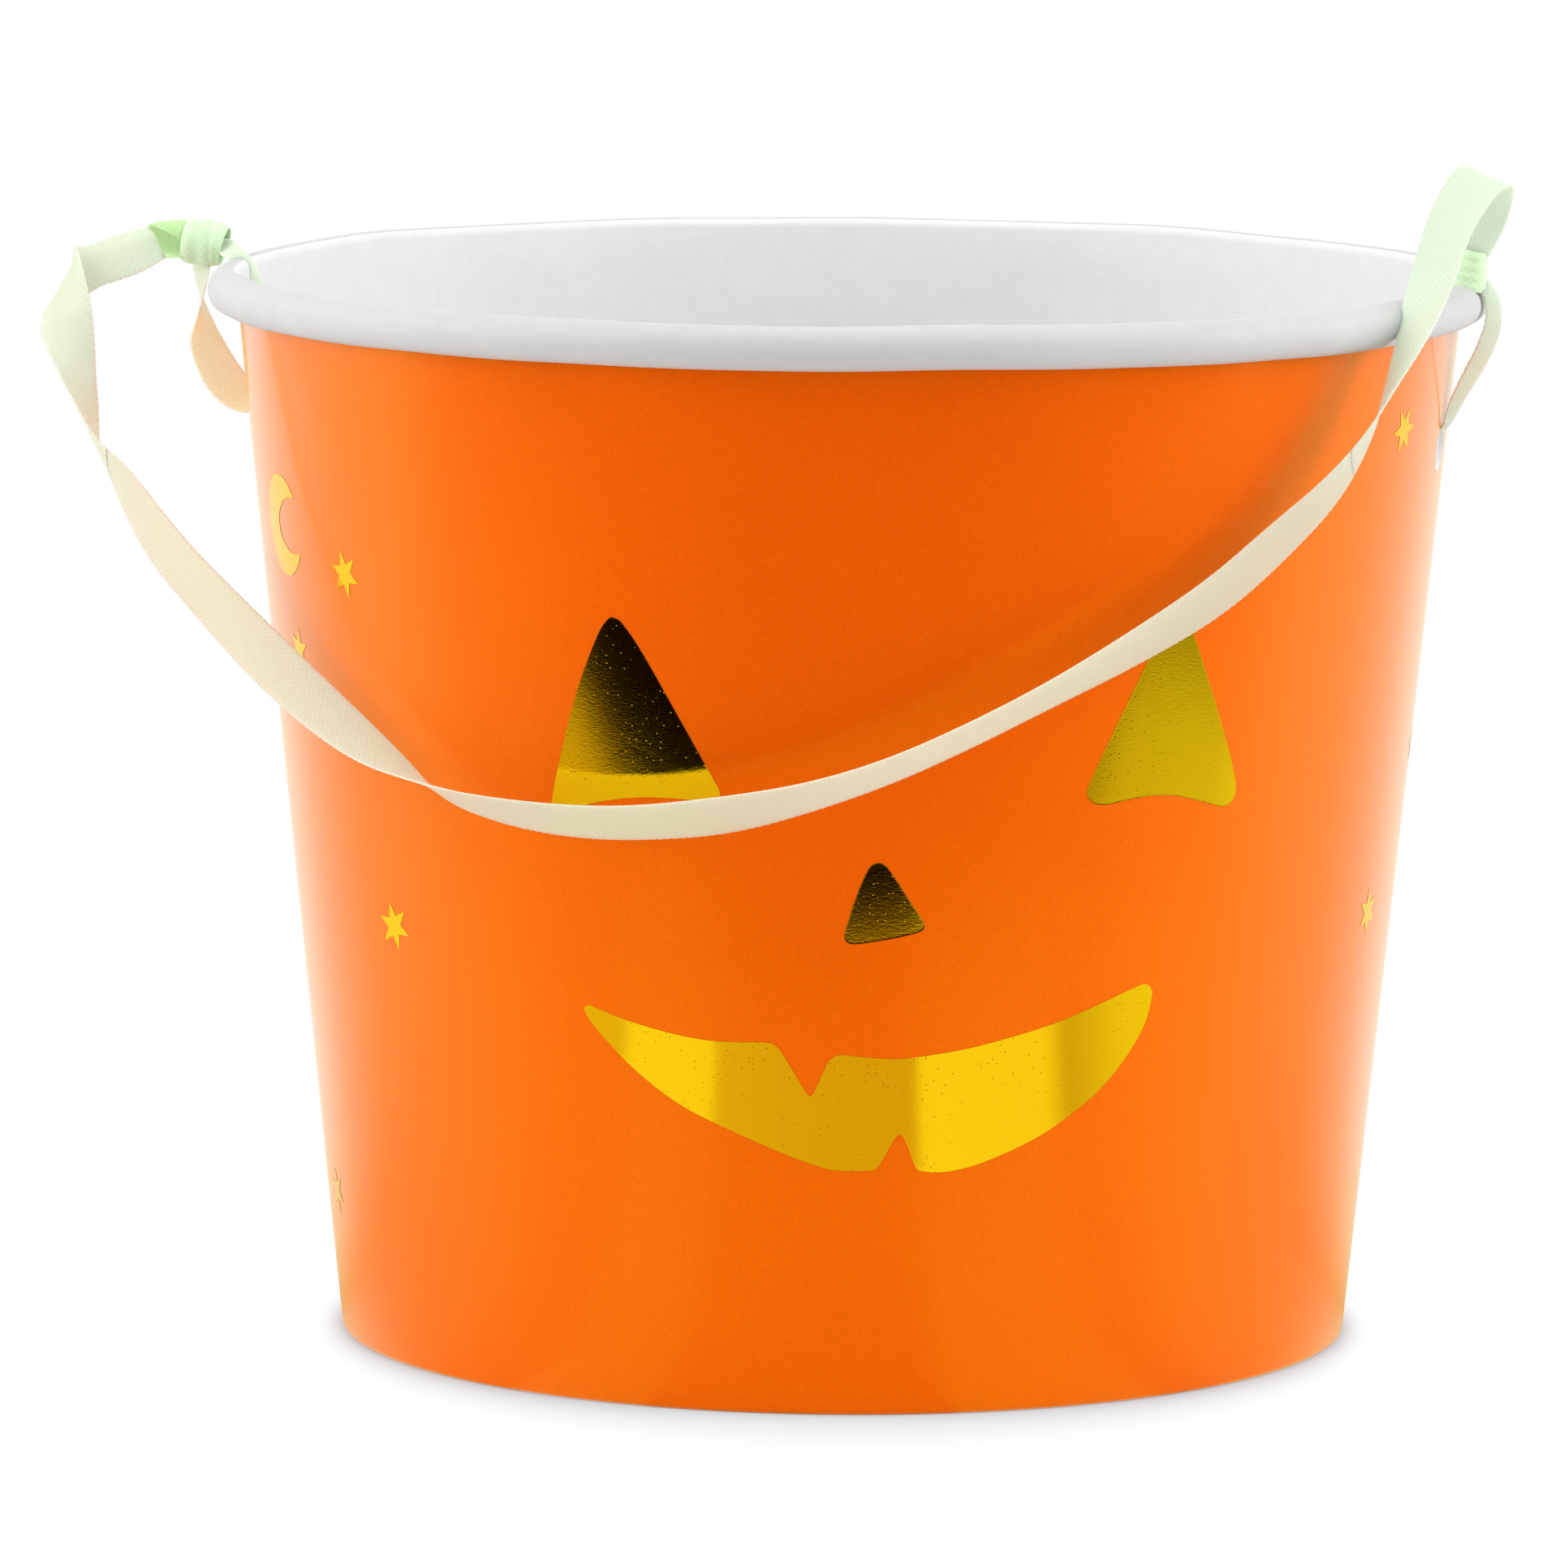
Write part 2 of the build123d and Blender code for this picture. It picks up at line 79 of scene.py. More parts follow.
# Azimuths from the front (-Y) towards +X.
FACE_AZIMUTH = np.radians(15.2)
CAMERA_AZIMUTH = np.radians(11.2)


# ---------------------------------------------------------------- small helpers


def linear(hex_colour):
    """An sRGB hex colour as linear RGBA."""
    value = np.array([int(hex_colour[i : i + 2], 16) for i in (1, 3, 5)]) / 255
    straight = np.where(value <= 0.04045, value / 12.92, ((value + 0.055) / 1.055) ** 2.4)
    return (*straight, 1.0)


def colour(name, description, hex_colour):
    """A colour property with an sRGB default."""
    return FloatVectorProperty(
        name=name, description=description, subtype="COLOR", size=4, min=0, max=1, default=linear(hex_colour)
    )


def measure(name, description, default, least=0.0):
    """A length property in metres."""
    return FloatProperty(
        name=name, description=description, default=default, min=least, unit="LENGTH", subtype="DISTANCE"
    )


def smooth(low, high, value):
    """Smooth step from 0 at low to 1 at high."""
    share = np.clip((value - low) / (high - low), 0, 1)
    return share * share * (3 - 2 * share)


def wrapped(angle):
    """An angle brought between minus and plus half a turn."""
    return np.angle(np.exp(1j * angle))


def unit(vectors):
    """Vectors divided by their lengths."""
    return vectors / np.linalg.norm(vectors, axis=-1)[..., None]


def path_lengths(points):
    """Length travelled along a line at each of its points."""
    return np.concatenate([[0], np.cumsum(np.linalg.norm(np.diff(points, axis=0), axis=1))])


def wall_radius(height, inward=0.0):
    """Radius of the printed cone at a height, or of a line that far inside it, square to the wall."""
    return BASE_RADIUS + SLOPE * height - inward / np.cos(LEAN)


def turned(radius, azimuth, height):
    """Points at a radius, an azimuth from the front (-Y) towards +X, and a height."""
    return np.stack(np.broadcast_arrays(radius * np.sin(azimuth), -radius * np.cos(azimuth), height), axis=-1)


def grid_faces(rows, columns, close_rows=False, close_columns=False):
    """Quads of a grid of points, as vertex indices in row order."""
    index = np.arange(rows * columns).reshape(rows, columns)
    if close_rows:
        index = np.vstack([index, index[:1]])
    if close_columns:
        index = np.hstack([index, index[:, :1]])
    corners = index[:-1, :-1], index[:-1, 1:], index[1:, 1:], index[1:, :-1]
    return np.stack(corners, axis=-1).reshape(-1, 4)


def new_piece(name, points, faces, materials, slots=None, uv=None, sharp=40.0):
    """An object from points and quads, smooth but for edges sharper than an angle in degrees."""
    mesh = bpy.data.meshes.new(name)
    mesh.from_pydata(points.reshape(-1, 3).tolist(), [], faces.tolist())
    for material in materials:
        mesh.materials.append(material)
    if slots is not None:
        mesh.polygons.foreach_set("material_index", slots.astype(np.int32))
    if uv is not None:
        corner = np.empty(len(mesh.loops), np.int32)
        mesh.loops.foreach_get("vertex_index", corner)
        at_corners = uv.reshape(-1, 2)[corner].astype(np.float32)
        mesh.uv_layers.new(name="UVMap").data.foreach_set("uv", at_corners.ravel())
    mesh.polygons.foreach_set("use_smooth", np.ones(len(mesh.polygons), bool))
    mesh.update()
    mesh.set_sharp_from_angle(angle=np.radians(sharp))
    piece = bpy.data.objects.new(name, mesh)
    bpy.context.scene.collection.objects.link(piece)
    return piece


def merge(piece, closed=False):
    """Merge doubled points, and turn the faces of a closed mesh outwards."""
    build = bmesh.new()
    build.from_mesh(piece.data)
    bmesh.ops.remove_doubles(build, verts=build.verts, dist=1e-7)
    if closed:
        bmesh.ops.recalc_face_normals(build, faces=build.faces)
    build.to_mesh(piece.data)
    build.free()


def rounded(points, radii, steps):
    """Corners of an open line rounded by arcs: each arc's points lie at even turns about its centre."""
    points = np.asarray(points, float)
    line = [points[:1]]
    for before, corner, after, radius in zip(points, points[1:], points[2:], radii):
        back, ahead = unit(before - corner), unit(after - corner)
        half = np.arccos(np.clip(back @ ahead, -1, 1)) / 2
        centre = corner + unit(back + ahead) * radius / np.sin(half)
        first = corner + back * radius / np.tan(half) - centre
        last = corner + ahead * radius / np.tan(half) - centre
        share = np.linspace(0, 1, steps)[:, None]
        turn = np.pi - 2 * half
        swung = np.sin((1 - share) * turn) * first + np.sin(share * turn) * last
        line.append(centre + swung / np.sin(turn))
    line.append(points[-1:])
    return np.vstack(line)


def curve_through(points, count, closed=False):
    """Curve through points: on each span the cubic that passes both ends along its neighbours' chord. An open
    curve's two ends are repeated."""
    points = np.asarray(points, float)
    if not closed:
        points = np.vstack([points[:1], points, points[-1:]])
    spans = len(points) if closed else len(points) - 3
    place = np.linspace(0, spans, count, endpoint=not closed)
    span = np.minimum(place.astype(int), spans - 1)
    t = (place - span)[:, None]
    first = -1 if closed else 0
    a, b, c, d = (points[(span + first + shift) % len(points)] for shift in range(4))
    return 0.5 * (2 * b + (c - a) * t + (2 * a - 5 * b + 4 * c - d) * t**2 + (3 * b - a - 3 * c + d) * t**3)


# ---------------------------------------------------------------- materials

# Settings that many nodes share.
SMOOTH = {"interpolation_type": "SMOOTHSTEP"}
COLOURS = {"data_type": "RGBA"}
TIMES = {"data_type": "RGBA", "blend_type": "MULTIPLY"}


def node(tree, kind, inputs=None, out=0, stops=(), **settings):
    """Add a shader node with its settings, and give one of its outputs; inputs are values, or sockets to link
    from, and stops a ramp's colours."""
    made = tree.nodes.new("ShaderNode" + kind)
    for key, value in settings.items():
        setattr(made, key, value)
    for key, value in (inputs or {}).items():
        if isinstance(value, bpy.types.NodeSocket):
            tree.links.new(value, made.inputs[key])
        else:
            made.inputs[key].default_value = value
    for index, (place, value) in enumerate(stops):
        elements = made.color_ramp.elements
        element = elements[index] if index < 2 else elements.new(place)
        element.position, element.color = place, value
    return made.outputs[out]


def blank_material(name, values=None):
    """A material with a Principled shader, and its tree and shader; values are what is the same all over."""
    material = bpy.data.materials.new(name)
    material.use_nodes = True
    tree = material.node_tree
    shader = tree.nodes["Principled BSDF"]
    for key, value in (values or {}).items():
        shader.inputs[key].default_value = value
    return material, tree, shader


def printed_board(settings):
    """Coated paperboard, offset printed and gloss varnished: deep orange with a fine print mottle, and a
    soft sheen that whitens towards the sides."""
    values = {
        "Roughness": 0.3,
        # Warm ink under the varnish tints what it mirrors straight on.
        "IOR": 2.0,
        "Specular Tint": linear("#E6FF2C"),
        # Light that scatters in the ink at a graze looks yellower.
        "Sheen Weight": 0.4,
        "Sheen Roughness": 0.62,
        "Sheen Tint": linear("#FFD81E"),
        "Coat Roughness": 0.06,
        "Coat IOR": 1.6,
    }
    material, tree, shader = blank_material("varnished_orange_paperboard", values)
    place = node(tree, "TexCoord", out="Object")
    # Print mottle about 0.5 mm across, and slow changes of ink about 30 mm across.
    mottle = node(tree, "TexNoise", {"Vector": place, "Scale": 1900.0, "Detail": 2.0})
    cloud = node(tree, "TexNoise", {"Vector": place, "Scale": 34.0, "Detail": 2.0})
    ink = node(tree, "Mix", {"Factor": 0.35, 2: mottle, 3: cloud})
    share = node(tree, "MapRange", {"Value": ink, "From Min": 0.3, "From Max": 0.7})
    tone = node(tree, "Mix", {"Factor": share, 6: settings.print_deep, 7: settings.print_pale}, 2, **COLOURS)
    tree.links.new(tone, shader.inputs["Base Color"])
    # Paper fibres about 0.8 mm long roughen the varnish a little.
    fibre = node(tree, "TexNoise", {"Vector": place, "Scale": 1300.0, "Detail": 3.0})
    bump = node(tree, "Bump", {"Height": fibre, "Strength": 0.05, "Distance": 0.0002})
    tree.links.new(bump, shader.inputs["Normal"])
    # The varnish film gives a clear white gloss only at a graze.
    graze = node(tree, "LayerWeight", {"Blend": 0.5}, "Facing")
    gloss = node(tree, "MapRange", {"Value": graze, "From Min": 0.46, "From Max": 0.85}, **SMOOTH)
    tree.links.new(gloss, shader.inputs["Coat Weight"])
    return material


def white_board(name, shade, white, marks=0.0):
    """Bleached paperboard, calendered but not varnished: near white, matte, with faint fibre shade, and on
    the rim the long marks of the rolling die."""
    material, tree, shader = blank_material(name, {"Roughness": 0.55})
    place = node(tree, "TexCoord", out="Object")
    # Fibre clouds about 3 mm across and grit about 0.5 mm across.
    cloud = node(tree, "TexNoise", {"Vector": place, "Scale": 330.0, "Detail": 4.0})
    share = node(tree, "MapRange", {"Value": cloud, "From Min": 0.3, "From Max": 0.7})
    tone = node(tree, "Mix", {"Factor": share, 6: shade, 7: white}, 2, **COLOURS)
    tree.links.new(tone, shader.inputs["Base Color"])
    grit = node(tree, "TexNoise", {"Vector": place, "Scale": 2000.0, "Detail": 2.0})
    # Die marks: streaks about 12 mm long and 1.4 mm high.
    streak = node(tree, "Mapping", {"Vector": place, "Scale": (80.0, 80.0, 700.0)})
    mark = node(tree, "TexNoise", {"Vector": streak, "Scale": 1.0, "Detail": 2.0})
    rolled = node(tree, "Bump", {"Height": mark, "Strength": marks, "Distance": 0.0003})
    bump = node(tree, "Bump", {"Height": grit, "Strength": 0.08, "Distance": 0.0002, "Normal": rolled})
    tree.links.new(bump, shader.inputs["Normal"])
    return material


def gold_foil(settings):
    """Hot-stamped gold foil, a mirror film pressed onto paper: sharp reflections broken up by the paper's
    grain into fine streaks, and by its grit into specks."""
    values = {"Base Color": settings.foil_gold, "Metallic": 1.0, "Roughness": 0.09}
    material, tree, shader = blank_material("hot_stamped_gold_foil", values)
    place = node(tree, "TexCoord", out="Object")
    # Paper grain: wavy streaks about 0.7 mm long and 0.25 mm high.
    streak = node(tree, "Mapping", {"Vector": place, "Scale": (1400.0, 1400.0, 4200.0)})
    grain = node(tree, "TexNoise", {"Vector": streak, "Scale": 1.0, "Detail": 3.0, "Distortion": 0.5})
    rough = node(tree, "Bump", {"Height": grain, "Strength": 0.06, "Distance": 0.0001})
    # Grit: a pimple about 0.3 mm across in every fifth cell of 0.5 mm.
    distance = node(tree, "TexVoronoi", {"Vector": place, "Scale": 2000.0, "Randomness": 1.0}, "Distance")
    chance = node(tree, "SeparateXYZ", {"Vector": distance.node.outputs["Color"]}, "X")
    chosen = node(tree, "Math", {0: chance, 1: 0.8}, operation="GREATER_THAN")
    dome = node(tree, "MapRange", {"Value": distance, "From Min": 0.3, "From Max": 0.0}, **SMOOTH)
    pimple = node(tree, "Math", {0: chosen, 1: dome}, operation="MULTIPLY")
    bump = node(tree, "Bump", {"Height": pimple, "Strength": 0.35, "Distance": 0.00004, "Normal": rough})
    tree.links.new(bump, shader.inputs["Normal"])
    return material


def satin_ribbon(settings, name, face, low, high, heights, through):
    """Woven polyester satin ribbon: on its bright face fine diagonal floats with a soft sheen, on its dull
    face a mesh of little dents, and on both a denser selvedge of loops along each edge."""
    values = {
        "Roughness": 0.42 if face == "bright" else 0.62,
        "Sheen Weight": 0.25,
        "Sheen Roughness": 0.4,
        # Light comes through the thin cloth.
        "Subsurface Weight": through,
        "Subsurface Radius": (1.0, 1.0, 1.0),
        "Subsurface Scale": 0.002,
    }
    material, tree, shader = blank_material(name, values)
    # UV is in millimetres: across the ribbon from its middle, and along it.
    uv = node(tree, "UVMap", uv_map="UVMap")
    across = node(tree, "SeparateXYZ", {"Vector": uv}, "X")
    along = across.node.outputs["Y"]
    # The bright face has dashes 1.2 mm long in rows 0.45 mm apart, each row stepped on by a third of a dash,
    # and the dull face dents 0.5 mm apart in offset rows. Both are two to three times as coarse as the real
    # threads, so that they show.
    row, dash, slant = (0.45, 1.2, 0.33) if face == "bright" else (1.0, 1.0, 0.0)
    rows = node(tree, "Math", {0: across, 1: 2 * np.pi / row}, operation="MULTIPLY")
    dashes = node(tree, "Math", {0: along, 1: 2 * np.pi / dash}, operation="MULTIPLY")
    stepped = node(tree, "Math", {0: rows, 1: slant, 2: dashes}, operation="MULTIPLY_ADD")
    # Selvedge: the outer 0.5 mm on each side, ribbed across every 0.7 mm.
    ribs = node(tree, "Math", {0: along, 1: 2 * np.pi / 0.7}, operation="MULTIPLY")
    waves = [node(tree, "Math", {0: turns}, operation="SINE") for turns in (rows, stepped, ribs)]
    weave = node(tree, "Math", {0: waves[0], 1: waves[1]}, operation="MULTIPLY")
    reach = node(tree, "Math", {0: across}, operation="ABSOLUTE")
    border = node(tree, "MapRange", {"Value": reach, "From Min": 2.85, "From Max": 3.1}, **SMOOTH)
    relief = node(tree, "Mix", {"Factor": border, 2: weave, 3: waves[2]})
    share = node(tree, "MapRange", {"Value": relief, "From Min": -1.0, "From Max": 1.0})

    # Painted light: the ribbon is made greener high up, for light coming through it, and warmer low down, for
    # the orange glow from the print beside it.
    place = node(tree, "TexCoord", out="Object")
    height = node(tree, "SeparateXYZ", {"Vector": place}, "Z")
    rise = node(tree, "MapRange", {"Value": height, "From Min": heights[0], "From Max": heights[1]}, **SMOOTH)
    dye_with_painted_light = node(tree, "Mix", {"Factor": rise, 6: low, 7: high}, 2, **COLOURS)
    shade = node(tree, "Mix", {"Factor": 1.0, 6: dye_with_painted_light, 7: settings.ribbon_shade}, 2, **TIMES)
    tone = node(tree, "Mix", {"Factor": share, 6: shade, 7: dye_with_painted_light}, 2, **COLOURS)
    tree.links.new(tone, shader.inputs["Base Color"])
    bump = node(tree, "Bump", {"Height": share, "Strength": 0.12, "Distance": 0.00008})
    tree.links.new(bump, shader.inputs["Normal"])
    return material


# ---------------------------------------------------------------- settings


class PailSettings(bpy.types.PropertyGroup):
    """Colours and sizes of the pail that a user would change."""

    print_deep: colour("Print Deep", "Darker tone of the orange print", "#F23A00")
    print_pale: colour("Print Pale", "Lighter tone of the orange print", "#FF4400")
    board_white: colour("Board White", "Unprinted board inside", "#E6E6E6")
    board_shade: colour("Board Shade", "Fibre shade of the unprinted board", "#E2E2E2")
    # Painted shade: the rim's two whites are darker copies of the inside board's whites, for the shade on the
    # rolled rim.
    rim_white_painted_shade: colour("Rim White", "Rolled rim, burnished by the rolling die", "#C9C9C9")
    rim_fibre_painted_shade: colour("Rim Shade", "Fibre shade of the rolled rim", "#C5C5C5")
    foil_gold: colour("Foil Gold", "Gold of the foil prints", "#FED012")
    rim_wave: measure("Rim Wave", "How far the rolled rim wanders in and out", 0.35 * MM)


class RibbonSettings(bpy.types.PropertyGroup):
    """Colours and sizes of the ribbon that a user would change."""

    ribbon_cream: colour("Ribbon Cream", "Ribbon low down in front", "#C6D7B9")
    ribbon_green: colour("Ribbon Green", "Ribbon at the loops and knots", "#C0D5B8")
    # Painted light: the fold and knot colours are lighter, greener copies of the ribbon's colour, for light
    # coming through its layers, and the warm colour is a painted orange glow from the wall.
    ribbon_fold_painted_light: colour("Ribbon Fold", "Gathered ribbon, where light comes through many layers", "#BCFF9E")
    ribbon_knot_painted_light: colour("Ribbon Knot", "Wraps of the knots", "#D8F6CC")
    ribbon_painted_bounce: colour("Ribbon Warm", "Left tie, warmed by the printed wall beside it", "#FFF4B0")
    ribbon_shade: colour("Ribbon Shade", "Shade between the threads", "#F7F5EE")
    width: measure("Ribbon Width", "Width of the ribbon", 7.0 * MM, 1.0 * MM)
    thickness: measure("Ribbon Thickness", "Thickness of the ribbon", 0.3 * MM, 0.1 * MM)


class StageSettings(bpy.types.PropertyGroup):
    """Floor and light."""

    floor: colour("Floor", "White floor", "#E6E7E7")
    floor_cool: colour("Floor Cool", "White floor in the pail's shadow, as the camera sees it", "#C0D6E0")
    floor_plain: FloatProperty(
        name="Floor Plain",
        description="Share of plain white where the floor meets the pail",
        default=0.2,
        min=0,
        max=1,
    )
    world_strength: FloatProperty(
        name="World Strength", description="Strength of the white surroundings", default=0.82, min=0
    )
    side_power: FloatProperty(
        name="Side Lights", description="Power of each side softbox in watts", default=6.2, min=0
    )
    top_power: FloatProperty(
        name="Top Light", description="Power of the overhead softbox in watts", default=3.0, min=0
    )


# ---------------------------------------------------------------- wall

# Heights where the wall's own rows start, above the fold at its foot, and end, below the rolled rim.
FOOT_TOP = 4 * MM
ROLL_START = 144 * MM
# Bends of the board's mid-line: at the fold, and at the rim's inner top, outer top and outer foot.
FOLD_BEND = 0.5 * MM
ROLL_BENDS = [1.15 * MM, 2.6 * MM, 2.6 * MM]
# Grid steps across a hole, and round the front from one hole to the other.
HOLE_STEPS = 8
FRONT_STEPS = 216
HOLE_LOW, HOLE_HIGH = HOLE_HEIGHT - HOLE_RADIUS, HOLE_HEIGHT + HOLE_RADIUS
# Heights between which the grid may be drawn towards a hole.
HOLE_ZONE = (100 * MM, 143 * MM)
# Seam: half its lap, the step at its edge and where it ramps up, in radians, the heights where it fades
# out and starts, and how far it stands out as a share of the board.
HALF_LAP = SEAM_LAP / 2 / wall_radius(HEIGHT / 2)
LAP_STEP = 0.0012
LAP_RAMP = (-2.5 * HALF_LAP, 0.2 * HALF_LAP)
LAP_FADE = (143.5 * MM, 142.5 * MM)
LAP_START = 1.5 * MM
LAP_SHARE = 0.95
# Rolled rim: rows of the profile on its visible side, the heights over which it starts to stray, and how
# much of that goes outwards and upwards.
RIM_ROWS = 24
RIM_ZONE = (136 * MM, 146 * MM)
RIM_OUTWARD, RIM_UPWARD = 0.6, 0.35
# Slow waves of the rim: how many go round it, share, and start in radians.
RIM_WAVES = ((3, 0.5, 0.4), (5, 0.8, 1.9), (8, 0.7, 4.0), (13, 0.5, 0.7), (21, 0.25, 2.2))
# Soft dents of the rim: azimuth and width in degrees, and share.
RIM_DENTS = ((-24.0, 5.0, -1.1), (-8.0, 4.0, 0.9), (52.0, 3.0, -1.4), (58.0, 2.5, 1.0), (-60.0, 6.0, 0.7))


def wall_profile():
    """The board's mid-line as (radius, height): hem, fold, wall with rows at the hole, and rolled rim. The
    second value is how many points the hem and fold take."""
    wall_inset = BOARD / 2
    hem_inset = HEM_WIDTH - BOARD / 2
    foot, top = BOARD / 2, HEIGHT - BOARD / 2
    outer, low = RIM_RADIUS - BOARD / 2, HEIGHT - ROLL_HEIGHT + BOARD / 2
    foot_line = rounded(
        [
            (wall_radius(HEM_HEIGHT, hem_inset), HEM_HEIGHT),
            (wall_radius(foot, hem_inset), foot),
            (wall_radius(foot, wall_inset), foot),
            (wall_radius(FOOT_TOP, wall_inset), FOOT_TOP),
        ],
        [FOLD_BEND, FOLD_BEND],
        5,
    )
    rows = np.concatenate(
        [
            np.linspace(FOOT_TOP, HOLE_LOW, 22)[1:-1],
            np.linspace(HOLE_LOW, HOLE_HIGH, HOLE_STEPS + 1),
            np.linspace(HOLE_HIGH, ROLL_START, 7)[1:],
        ]
    )
    wall_line = np.column_stack([wall_radius(rows, wall_inset), rows])
    rim_line = rounded(
        [
            (wall_radius(ROLL_START, wall_inset), ROLL_START),
            (wall_radius(top, wall_inset), top),
            (outer, top),
            (outer, low),
            (wall_radius(low, -0.3 * MM), low),
        ],
        ROLL_BENDS,
        10,
    )[1:]
    return np.vstack([foot_line, wall_line, rim_line]), len(foot_line)


def wall_azimuths():
    """Azimuths of the wall's columns: even, with finer lines across each hole and at the seam's edge."""
    reach = HOLE_RADIUS / wall_radius(HOLE_HEIGHT)
    left, right, back = -np.pi / 2, np.pi / 2, np.pi + HALF_LAP
    runs = (
        (left - reach, left + reach, HOLE_STEPS),
        (left + reach, right - reach, FRONT_STEPS),
        (right - reach, right + reach, HOLE_STEPS),
        (right + reach, back, 111),
        (back, back + LAP_STEP, 2),
        (back + LAP_STEP, 3 * right - reach, 104),
    )
    return np.concatenate([np.linspace(start, end, steps, endpoint=False) for start, end, steps in runs])


def rim_wander(azimuth, size):
    """How the rolled rim strays: a sum of a few slow waves round the rim, and soft dents in front."""
    outward = sum(share * np.cos(count * azimuth + start) for count, share, start in RIM_WAVES)
    upward = sum(share * np.cos(count * azimuth + 2.3 * start) for count, share, start in RIM_WAVES)
    for place, width, depth in RIM_DENTS:
        near = np.degrees(wrapped(azimuth - np.radians(place)))
        outward = outward + depth * np.exp(-((near / width) ** 2))
    return size * outward * RIM_OUTWARD, size * upward * RIM_UPWARD


def round_hole(azimuth, height, side):
    """Ease a square of grid lines about a punched hole into rings: each square ring becomes the circle
    that it holds, fully at the hole's edge and not at all three radii out."""
    radius = wall_radius(HOLE_HEIGHT)
    along = wrapped(azimuth - side * np.pi / 2) * radius
    up = height - HOLE_HEIGHT
    ring = np.maximum(np.abs(along), np.abs(up))
    far = np.hypot(along, up)
    share = smooth(3 * HOLE_RADIUS, HOLE_RADIUS, ring)
    scale = 1 + share * (ring / np.maximum(far, 1e-9) - 1)
    change = np.where(far > 1e-9, scale - 1, 0)
    return along * change / radius, up * change


class PAIL_OT_wall(bpy.types.Operator):
    """Build the board wall: one profile of hem, wall and rolled rim carried round the axis."""

    bl_idname = "pail.wall"
    bl_label = "Board Wall"

    def execute(self, context):
        settings = context.scene.pail
        line, foot_rows = wall_profile()
        along = unit(np.gradient(line, axis=0))
        square = np.column_stack([along[:, 1], -along[:, 0]]) * BOARD / 2
        profile = np.vstack([line + square, (line - square)[::-1]])
        azimuth = wall_azimuths()
        height, turn = np.broadcast_arrays(profile[:, 1:], azimuth[None, :])
        radius = np.broadcast_to(profile[:, :1], height.shape)

        # Holes: rows and columns near each hole are drawn into rings.
        shift_turn, shift_up = np.zeros_like(height), np.zeros_like(height)
        low, high = HOLE_ZONE
        on_wall = (height > low) & (height < high) & (radius < wall_radius(height) + BOARD)
        for side in (-1, 1):
            turn_change, up_change = round_hole(turn, height, side)
            shift_turn = shift_turn + np.where(on_wall, turn_change, 0)
            shift_up = shift_up + np.where(on_wall, up_change, 0)
        turn, height = turn + shift_turn, height + shift_up
        radius = radius + SLOPE * shift_up

        # Rim: it wanders a little. Seam: the outer lap ramps up to the board's thickness, then ends.
        outward, upward = rim_wander(turn, settings.rim_wave)
        near_rim = smooth(*RIM_ZONE, height)
        past = wrapped(turn - np.pi)
        lap = np.where(past < HALF_LAP + LAP_STEP / 2, smooth(*LAP_RAMP, past), 0)
        outside = np.arange(len(profile))[:, None] < len(line)
        lap = np.where(outside & (height > LAP_START), lap * smooth(*LAP_FADE, height), 0)
        radius = radius + outward * near_rim + lap * BOARD * LAP_SHARE
        height = height + upward * near_rim
        points = turned(radius, turn, height)

        # Faces: a square of the grid is left out at each hole, on both sides of the board, and its two edges
        # are joined by a ring.
        rows, columns = len(profile), len(azimuth)
        faces = grid_faces(rows, columns, close_rows=True, close_columns=True)
        row, column = np.divmod(np.arange(rows * columns), columns)
        slots = np.where(row < len(line) - 1, 0, np.where(row < len(line) + RIM_ROWS, 2, 1))
        in_foot = np.arange(len(line)) < foot_rows
        first_row = int(np.argmin(np.abs(line[:, 1] - HOLE_LOW) + in_foot))
        keep = np.ones(len(faces), bool)
        step = np.arange(HOLE_STEPS)
        ring_row = np.concatenate([0 * step, step, HOLE_STEPS + 0 * step, HOLE_STEPS - step])
        rims = []
        for first_column in (0, HOLE_STEPS + FRONT_STEPS):
            in_columns = (column >= first_column) & (column < first_column + HOLE_STEPS)
            for start in (first_row, rows - 1 - first_row - HOLE_STEPS):
                keep &= ~(in_columns & (row >= start) & (row < start + HOLE_STEPS))
            ring_column = (first_column + np.roll(ring_row, -HOLE_STEPS)) % columns
            front = (first_row + ring_row) * columns + ring_column
            back = (rows - 1 - first_row - ring_row) * columns + ring_column
            rims.append(np.column_stack([front, np.roll(front, -1), np.roll(back, -1), back]))
        faces = np.vstack([faces[keep], *rims])
        slots = np.concatenate([slots[keep], np.ones(sum(map(len, rims)), int)])

        materials = [
            printed_board(settings),
            white_board("bleached_white_paperboard", settings.board_shade, settings.board_white),
            # The rim takes the darker whites: painted shade on the same board.
            white_board("die_rolled_paperboard_painted_shade", settings.rim_fibre_painted_shade, settings.rim_white_painted_shade, marks=0.35),
        ]
        wall = new_piece("pail_wall", points, faces, materials, slots)
        merge(wall, closed=True)
        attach(wall, "pail")
        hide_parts("sidewall")
        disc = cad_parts["bottom_disc"]
        disc.data.materials.clear()
        disc.data.materials.append(wall.data.materials[1])
        return {"FINISHED"}


# ---------------------------------------------------------------- foil prints

